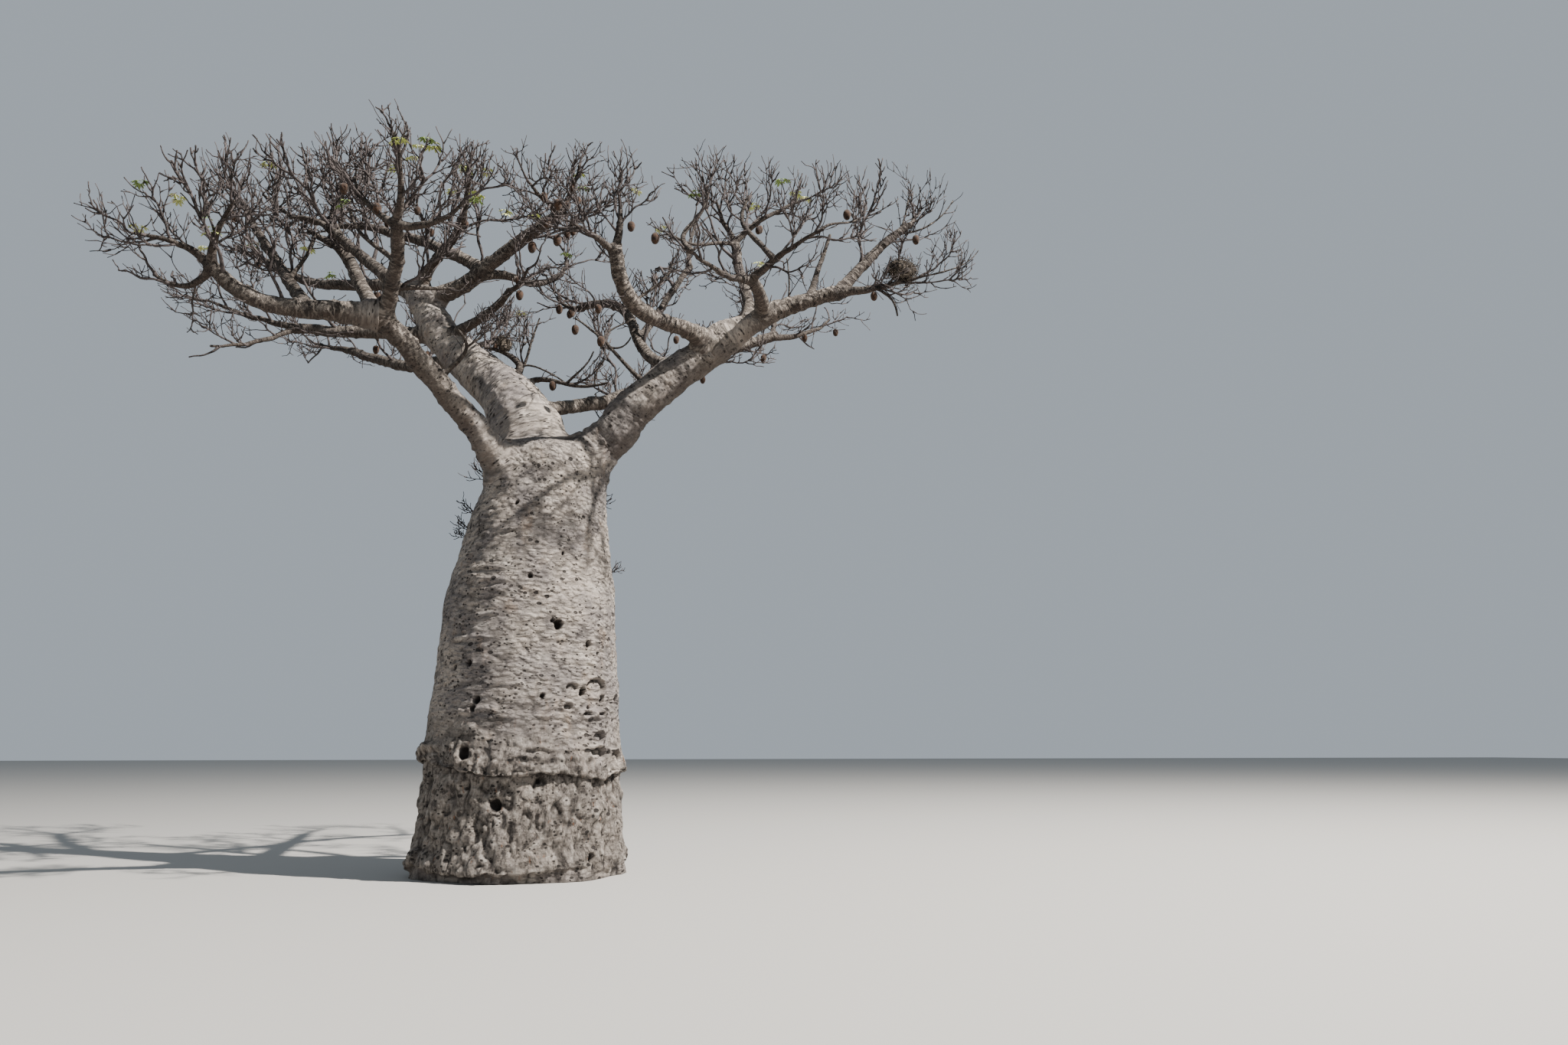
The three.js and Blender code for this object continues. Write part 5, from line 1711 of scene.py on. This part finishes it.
def add_marks(f, share, rows):
    """Scales, short dashes and threads across the bark, light on their crests and dark between, the scales'
    cracks partly painted shade, and pits.
    share is how strong they are, and rows how much wider than high the pits are. Gives the pits."""
    scale = scales(f, (8.5, 17, 1))
    dashes = f.noise(f.stretched(f.shaken(f.around, 2.2, 0.1), (7.5, 18, 1)), 1.0, 6, 0.68)
    fine = f.noise(f.stretched(f.around, (34, 56, 1)), 1.0, 4, 0.65)
    some = f.between(f.noise(f.places, 1.9, 4), 0.4, 0.6, 0.1, 1.0)
    # Dark between the scales: partly cracks, partly painted shade.
    cracks_and_shade = f.times(f.between(scale, 0.34, 0.0), some)
    f.tint(f.times(cracks_and_shade, 0.6 * share), DARK_BARK_AND_SHADE)
    f.tint(f.between(dashes, 0.47, 0.33, 0, 0.8 * share), DARK_BARK_AND_SHADE)
    f.tint(f.between(dashes, 0.54, 0.68, 0, 0.4), WHITE_BARK_AND_HIGHLIGHT)
    f.tint(f.between(fine, 0.48, 0.34, 0, 0.5 * share), DARK_BARK_AND_SHADE)
    wander = f.noise(f.stretched(f.around, (1.1, 15, 1)), 1.0, 4)
    line = f.between(f.result_of("ABSOLUTE", f.result_of("SUBTRACT", wander, 0.5)), 0.02, 0.004)
    thread = f.times(line, patches(f, 0.45, 0.6, 2.4, 3))
    f.tint(f.times(thread, 0.45 * share), DARK_BARK_AND_SHADE)
    broad = pits(f, 5.5 / share ** 0.7, 0.02, 0.22, rows)
    specks = f.result_of("MAXIMUM", broad, pits(f, 13.0, 0.03, 0.3, rows))
    f.heights += [
        (scale, share, 0.036), (dashes, share, 0.026), (fine, 0.8, 0.012), (thread, -0.5 * share, 0.014),
        (specks, -1.0, 0.05),
    ]
    return specks


def finish_bark(f, specks):
    """Darkens the pits, and last paints shade into creases, holes, grooves, hollows and forks."""
    f.tint(f.times(specks, 0.9), DARK_BARK_AND_SHADE)
    # Painted shade in creases, peg holes, grooves, hollows, under the ledge and at forks, with some real
    # dark cracks.
    f.tint(f.between(f.value_of("cavity"), 0.12, 1.05, 0, 0.93), DARK_BARK_AND_SHADE)
    return f.finish()


def trunk_finish():
    """Knotted, cracked and warmer where the bark is rough, darker between the knots and whitish on them,
    partly painted shade and highlight.
    """
    f = drifting_bark("trunk_bark")
    specks = add_marks(f, 1.0, 1.5)
    rough = f.value_of("rough")
    f.tint(f.times(rough, 0.55), PALE_BARK)
    knots = f.noise(f.stretched(f.shaken(f.around, 3.0, 0.1), (11, 6, 1)), 1.0, 7, 0.74)
    warm = f.noise(f.stretched(f.around, (15, 4.5, 1)), 1.0, 4, 0.7)
    # Dark between the knots is partly painted shade, and the whitish knot tops partly painted highlight.
    for height, low, high, most, colour in (
        (knots, 0.51, 0.4, 0.78, DARK_BARK_AND_SHADE),
        (knots, 0.52, 0.62, 0.75, WHITE_BARK_AND_HIGHLIGHT),
        (warm, 0.62, 0.68, 0.75, INNER_BARK),
    ):
        f.tint(f.times(f.times(f.between(height, low, high), rough), most), colour)
    f.heights.append((f.times(knots, rough), 1.0, 0.12))
    return finish_bark(f, specks)


def bough_finish():
    """Pale with dark scaly marks across it on small boughs, painted shade in narrow folds along old limbs
    and on undersides.
    """
    f = drifting_bark("bough_bark")
    specks = add_marks(f, 0.72, 2.0)
    marks = f.noise(f.stretched(f.shaken(f.around, 5.0, 0.05), (11, 21, 1)), 1.0, 6, 0.68)
    blotch = f.between(marks, 0.56, 0.44)
    old = f.between(f.noise(f.places, 3.2, 4), 0.36, 0.6, 0.55, 1.0)
    tone = f.value_of("tone")
    bough = f.mixed(f.times(blotch, old), BOUGH_PALE, BOUGH_DARK)
    bough = f.mixed(f.between(tone, 0.76, 0.98, 0, 0.6), bough, BOUGH_DARK)
    marked = f.between(tone, 0.1, 0.6)
    f.tint(marked, bough)
    folded = f.value_of("folded")
    skin = f.noise(f.stretched(f.around, (30, 8, 1)), 1.0, 6, 0.66)
    # Painted shade in the troughs of the old limbs' folds.
    f.tint(f.times(f.between(skin, 0.5, 0.38), f.times(folded, 0.45)), DARK_BARK_AND_SHADE)
    f.heights += [(f.times(blotch, marked), -0.9, 0.014), (f.times(skin, folded), 1.0, 0.06)]
    # Painted shade on the undersides.
    f.tint(f.times(f.value_of("under"), 0.72), UNDERSIDE_SHADE)
    return finish_bark(f, specks)


def twig_finish():
    f = Finish("twig_bark", 0.85)
    f.colour = f.mixed(patches(f, 0.36, 0.66, 9, 4, 0.6), TWIG_DARK, TWIG_BROWN)
    grain = f.noise(f.places, 60, 3)
    f.tint(f.between(grain, 0.54, 0.68, 0, 0.5), TWIG_GREY)
    f.heights.append((grain, 0.3, 0.002))
    return f.finish()


def fruit_finish():
    f = Finish("fruit_velvet", 0.9)
    f.shader.inputs["Sheen Weight"].default_value = 0.1
    f.shader.inputs["Sheen Roughness"].default_value = 0.5
    blotch = patches(f, 0.35, 0.66, 26, 5, 0.6)
    f.colour = f.mixed(blotch, FRUIT_DARK, FRUIT_BROWN)
    f.heights += [(f.noise(f.places, 240, 2), 0.5, 0.002), (blotch, 0.3, 0.004)]
    return f.finish()


def leaf_finish(name, light, dark):
    f = Finish(name, 0.55)
    f.shader.inputs["Specular IOR Level"].default_value = 0.35
    f.colour = f.mixed(patches(f, 0.38, 0.62, 18, 3), dark, light)
    f.heights.append((f.noise(f.places, 70, 2), 0.2, 0.003))
    return f.finish()


def stick_finish():
    f = Finish("nest_sticks", 0.9)
    f.colour = f.mixed(patches(f, 0.4, 0.66, 26, 3), STICK_DARK, STICK_PALE)
    f.heights.append((f.noise(f.places, 160, 2), 0.4, 0.003))
    return f.finish()


TRUNK_BARK = trunk_finish()
BOUGH_BARK = bough_finish()
TWIG_BARK = twig_finish()
FRUIT_VELVET = fruit_finish()
LEAF_FINISHES = [leaf_finish(name, *colours) for name, colours in LEAF_COLOURS.items()]
NEST_STICKS = stick_finish()

# Trunk, limbs and stems

ROOTED_BOUGHS = ["left_limb", "middle_limb", "right_limb"]


def finish_piece(piece, replaced=()):
    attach(piece, "root")
    if replaced:
        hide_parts(*replaced)


finish_piece(grow_trunk_skirt(TRUNK_BARK), ["trunk"])
finish_piece(grow_trunk_shell(TRUNK_BARK), ["trunk"])
smaller = [name for name in BOUGHS if name not in ROOTED_BOUGHS]
for name, family, replaced in (
    ("great_limbs", ROOTED_BOUGHS, ROOTED_BOUGHS),
    ("boughs", [*smaller, *SIDE_BOUGHS], smaller),
    ("twig_stems", list(stems), list(stems)),
):
    skins = joined_skins(name, [EVERY_LIMB[limb] for limb in family], BOUGH_BARK)
    finish_piece(skins, replaced)

# Twigs as meshes

TWIG_RINGS = {1: 10, 2: 8, 3: 6, 4: 4}
TWIG_SIDES = {1: 6, 2: 5, 3: 4, 4: 3}
THINNEST = 0.0042
TWIG_TAPER = 0.64  # its tip's radius as a share of its foot's
TIP_KNOB = 1.3
CROWN_PARTS = {  # the great limbs that each part's twigs grow from
    "twigs_left": ["left_limb"],
    "twigs_middle": ["middle_limb", "rear_right"],
    "twigs_right": ["right_limb"],
}


def owner_limb(name):
    """The great limb that a mass or bough grows from."""
    while name != "trunk":
        family, name = name, EVERY_LIMB[name].parent
    return family


def twig_meshes(chosen):
    """Twigs as crooked tapering tubes, each through its kink, with a knob at its tip."""
    knobbly = np.random.default_rng(23)
    bodies = []
    for level, rings in TWIG_RINGS.items():
        group = [twig for twig in chosen if twig.level == level]
        base, middle, tip, lean, jerk, thick = (
            np.array([getattr(twig, key) for twig in group])[:, None]
            for key in ("base", "middle", "tip", "lean", "jerk", "thick")
        )
        s = np.linspace(0, 1, rings)[None, :, None]
        line = (1 - s) * (1 - 2 * s) * base + 4 * s * (1 - s) * middle + s * (2 * s - 1) * tip
        line = line + np.sin(2 * math.pi * s) * lean + np.sin(4 * math.pi * s) * jerk
        size = np.linalg.norm(tip - base, axis=-1)
        taper = 1 - (1 - TWIG_TAPER) * s[..., 0]
        collar = 1 + 0.5 * np.exp(-s[..., 0] * size / (2.2 * thick))
        knots = 1 + 0.13 * knobbly.uniform(-1, 1, (len(group), rings))
        radii = np.maximum(thick, THINNEST / TWIG_TAPER) * taper * collar * knots
        if level > SOURCE_LEVELS:
            radii[:, -1] *= TIP_KNOB
        bodies.append(tubes(line, radii, TWIG_SIDES[level]))
    return joined(bodies)


for part, families in CROWN_PARTS.items():
    chosen = [twig for twig in twigs if owner_limb(twig.group) in families]
    masses = [name for name in stems if owner_limb(name) in families]
    finish_piece(mesh_of(part, *twig_meshes(chosen), [TWIG_BARK]), masses)

# What the twigs carry

# Where fruits and leaf sprays show in the photograph, in its pixels.
FRUITS_SEEN = [
    (731, 264), (738, 268), (741, 305), (700, 318), (728, 315), (786, 383), (750, 446), (790, 447),
    (851, 313), (992, 298), (1104, 280), (1204, 312), (1000, 466), (672, 382), (733, 486), (884, 443),
    (663, 419), (852, 352), (444, 246), (300, 233), (547, 280), (566, 306),
]
LEAVES_SEEN = [
    (527, 185), (545, 195), (560, 186), (570, 192), (540, 207), (275, 280), (281, 297), (180, 298),
    (187, 235), (396, 327), (590, 250), (616, 261), (622, 255), (657, 276), (1022, 238), (1040, 250),
    (1050, 258), (452, 264), (700, 283), (828, 250), (905, 255), (350, 215), (240, 262),
]


def nearest_places(places, seen, drop):
    """For each pixel, the place that shows nearest to it once something hangs by drop under it."""
    shown = seen_at(places - np.array([0, 0, drop]))
    found = []
    for pixel in seen:
        away = np.linalg.norm(shown - np.array(pixel), axis=1)
        away[found] = np.inf
        found.append(int(away.argmin()))
    return found


BEHIND = 1.5  # +Y from which the crown doesn't show in the photograph
FRUITS_BEHIND = 14
FRUIT_COLUMNS = 12
FRUIT_ROWS = 11
FRUIT_HALF_WIDE = 0.056
FRUIT_HALF_LONG = 0.078
STALK_LENGTHS = (0.09, 0.17)
STALK_POINTS = 6
STALK_RADIUS = 0.005

twig_kinks = np.array([twig.middle for twig in twigs if twig.level <= 3])
spare = np.random.default_rng(5)
fruit_places = list(twig_kinks[nearest_places(twig_kinks, FRUITS_SEEN, 0.2)])
fruit_places += [np.array(place) for stem in stems.values() for place in stem.fruit_places]
behind_crown = [i for i in range(len(twig_kinks)) if twig_kinks[i][1] > BEHIND]
fruit_places += list(twig_kinks[spare.choice(behind_crown, FRUITS_BEHIND, replace=False)])


def fruit_body(top, size):
    """An egg-shaped fruit with low ribs, hung by its top."""
    polar = np.linspace(0.12, math.pi - 0.12, FRUIT_ROWS)[:, None]
    angle = turns_of(FRUIT_COLUMNS)
    wide = FRUIT_HALF_WIDE * size * np.sin(polar) ** 0.85 * (1 + 0.1 * np.cos(polar))
    down = FRUIT_HALF_LONG * size * (1 - np.cos(polar)) * np.ones(FRUIT_COLUMNS)
    ribs = 1 + 0.05 * np.cos(5 * angle) * np.sin(polar) + spare.normal(0, 0.012, (FRUIT_ROWS, FRUIT_COLUMNS))
    rows = np.stack([wide * np.cos(-angle) * ribs, wide * np.sin(-angle) * ribs, 0.004 - down], axis=-1)
    ends = np.array([(0, 0, rows[0, 0, 2] + 0.002), (0, 0, rows[-1, 0, 2] - 0.002)])
    return closed_body(top + rows, top + ends)


def make_fruits():
    """Velvety fruits on drooping stalks."""
    stalks, bodies = [], []
    s = np.linspace(0, 1, STALK_POINTS)
    for place in fruit_places:
        drop = spare.uniform(*STALK_LENGTHS)
        size = spare.uniform(0.9, 1.1)
        swing = spare.normal(0, 0.018, 2)
        stalks.append(place + np.stack([swing[0] * s * s, swing[1] * s * s, -drop * s], axis=-1))
        bodies.append(fruit_body(stalks[-1][-1], size))
    fruits = mesh_of("fruits", *joined(bodies), [FRUIT_VELVET])
    finish_piece(fruits, [name for name in stems if stems[name].fruits])
    radii = np.full((len(stalks), STALK_POINTS), STALK_RADIUS)
    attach(mesh_of("fruit_stalks", *tubes(stalks, radii, 5), [TWIG_BARK]), "root")


make_fruits()

LEAFLETS = 6
LEAFLET_LENGTH = 0.1
LEAFLET_HALF_THICK = 0.0012
LEAVES = 3  # in a spray
LEAF_SPRAYS_BEHIND = 16
# A leaflet's outline: shares of its length, and half its width at each as a share of its length.
LEAFLET_EDGE = [(0.0, 0.02), (0.35, 0.15), (0.65, 0.19), (0.88, 0.1), (1.0, 0.0)]


def leaflet(base, heading, side, length):
    """A thin closed blade, keeled along its rib."""
    face = np.cross(heading, side)
    edges, rib = [], []
    last = len(LEAFLET_EDGE) - 1
    for hand in (1, -1):
        for share, half in LEAFLET_EDGE[:last]:
            curl = -0.10 * share * share + 0.35 * half
            edges.append(base + length * (heading * share + side * hand * half + face * curl))
    tip = base + length * (heading - face * 0.1)
    for share, _ in LEAFLET_EDGE[:last]:
        rib.append(base + length * (heading * share - face * 0.1 * share * share))
    above, below = ([p + face * lift for p in rib] for lift in (LEAFLET_HALF_THICK, -LEAFLET_HALF_THICK))
    points = [*edges, tip, *above, *below]
    left, right, end, top, low = 0, last, 2 * last, 2 * last + 1, 3 * last + 1
    strips = ((left, top), (top, right), (low, left), (right, low))
    faces = []
    for i in range(last - 1):
        for a, b in strips:
            faces += [(a + i, b + i, b + i + 1), (a + i, b + i + 1, a + i + 1)]
    faces += [(a + last - 1, b + last - 1, end) for a, b in strips]
    faces += [(left, low, top), (top, low, right)]
    return np.array(points), np.zeros((0, 4), int), np.array(faces)


def leaf_bodies(root, out):
    """One hand-shaped leaf: its stalk and its leaflets, spread like fingers."""
    hand = root + out * 0.07
    line = [[root - out * 0.01, root + out * 0.035, hand]]
    bodies = [tubes(line, np.full((1, 3), 0.0025), 3)]
    face = unit_rows(out * 0.4 + UP)
    ahead = unit_rows(out - face * out.dot(face))
    beside = np.cross(face, ahead)
    for n in range(LEAFLETS):
        spread = (n - (LEAFLETS - 1) / 2) * 0.72
        way = unit_rows(ahead * math.cos(spread) + beside * math.sin(spread) - face * 0.25)
        across = np.cross(unit_rows(face - way * face.dot(way)), way)
        size = LEAFLET_LENGTH * (1.05 - 0.12 * abs(spread)) * spare.uniform(0.85, 1.1)
        bodies.append(leaflet(hand, way, across, size))
    return bodies


def make_leaf_sprays():
    """Young leaves in little sprays at some twig tips."""
    tips = [twig for twig in twigs if twig.level >= 3]
    places = np.array([twig.tip for twig in tips])
    chosen = nearest_places(places, LEAVES_SEEN, -0.03)
    high = [i for i in range(len(places)) if places[i][2] > 9.3 and places[i][1] > 0.5]
    chosen += [int(i) for i in spare.choice(high, LEAF_SPRAYS_BEHIND, replace=False)]
    bodies, kinds = [], []
    for number, index in enumerate(chosen):
        twig = tips[index]
        heading = unit_rows(np.subtract(twig.tip, twig.middle))
        side, across = (np.array(v) for v in frame_of(tuple(heading)))
        for leaf in range(LEAVES):
            turn = leaf * 2.1 + number
            out = unit_rows(heading * 0.7 + side * math.cos(turn) + across * math.sin(turn) + [0, 0, 0.35])
            found = leaf_bodies(np.array(twig.tip), out)
            bodies += found
            kinds += [number % len(LEAF_FINISHES)] * len(found)
    piece = mesh_of("leaf_sprays", *joined(bodies), LEAF_FINISHES)
    of_faces = [np.repeat(kinds, [len(body[column]) for body in bodies]) for column in (1, 2)]
    piece.data.polygons.foreach_set("material_index", np.concatenate(of_faces).astype(np.int32))
    piece.data.polygons.foreach_set("use_smooth", np.zeros(len(piece.data.polygons), bool))
    piece.data.update()
    finish_piece(piece)


make_leaf_sprays()

# Nests of sticks

NESTS = {  # the bough or stem each lies on, the share along it, its rise over it, width, height and sticks
    "nest_right": ("twigs_right_tip", 0.75, 0.17, 0.54, 0.4, 460),
    "nest_inner": ("nest_bough", 0.74, 0.13, 0.3, 0.26, 240),
}

STICK_POINTS = 5
STICK_LENGTHS = (0.2, 0.62)  # as shares of the nest's width
STICK_THICKS = (0.0025, 0.0065)
LOOSE_END_THICK = 0.003
STRAW_THICK = 0.0022
NEST_LUMPS = 0.42
CORE_ROWS = 12
CORE_COLUMNS = 18


def stick_shake(hands):
    return hands.normal(0, 0.004, (STICK_POINTS, 3))


def stick_line(start, heading, length, droop, hands):
    s = np.linspace(0, 1, STICK_POINTS)[:, None]
    return start + heading * s * length - np.array(UP) * s * s * droop + stick_shake(hands)


def nest_core(centre, half, seed):
    """A lumpy dark core that the sticks lie round."""
    polar = np.linspace(0.15, math.pi - 0.15, CORE_ROWS)[:, None]
    turn = -turns_of(CORE_COLUMNS)
    upright = np.cos(polar) * np.ones(CORE_COLUMNS)
    core = np.stack([np.sin(polar) * np.cos(turn), np.sin(polar) * np.sin(turn), upright], axis=-1)
    lump = 1 + NEST_LUMPS * uneven(core + seed, 0.8, 3) + 0.12 * uneven(core + seed, 0.25, 2)
    core = centre + core * lump[..., None] * half * 0.72
    return closed_body(core, [core[0].mean(axis=0), core[-1].mean(axis=0)])


def make_nest(name, centre, wide, high, sticks, seed):
    """A ragged heap of dead sticks laid round one another, with loose ends and straws that hang from it."""
    hands = np.random.default_rng(seed)
    half = np.array([wide / 2, wide / 2, high / 2])
    lines, radii = [], []
    for n in range(sticks):
        z = hands.uniform(-1, 1)
        turn = hands.uniform(0, 2 * math.pi)
        flat = math.sqrt(1 - z * z)
        out = np.array([flat * math.cos(turn), flat * math.sin(turn), z])
        lump = 1 + NEST_LUMPS * float(uneven(out + seed, 0.8, 3))
        place = centre + out * half * hands.uniform(0.6, 0.98) * lump
        lie = unit_rows(np.cross(out, hands.normal(0, 1, 3)) + out * hands.normal(0, 0.3))
        length = hands.uniform(*STICK_LENGTHS) * wide
        thick = hands.uniform(*STICK_THICKS)
        if n % 7 == 0:
            lie, thick = unit_rows(out * [1, 1, 0.2] + hands.normal(0, 0.5, 3)), LOOSE_END_THICK
            lines.append(stick_line(place, lie, length * 0.7, length * 0.2, hands))
        elif n % 6 == 0 and z < 0.2:
            lines.append(stick_line(place, out * [0.3, 0.3, 0] - UP, length * 0.8, 0, hands))
            thick = STRAW_THICK
        else:
            curl = np.linspace(-0.5, 0.5, STICK_POINTS)[:, None]
            lines.append(place + lie * curl * length - out * curl * curl * length * 1.1 + stick_shake(hands))
        radii.append(np.linspace(1, 0.5, STICK_POINTS) * thick)
    bodies = [tubes(lines, radii, 4), nest_core(centre, half, seed)]
    finish_piece(mesh_of(name, *joined(bodies), [NEST_STICKS]))


for number, (name, (carrier, share, rise, wide, high, sticks)) in enumerate(NESTS.items()):
    centre = crooked_path(EVERY_LIMB[carrier], share) + [0, 0, rise]
    make_nest(name, centre, wide, high, sticks, number + 3)
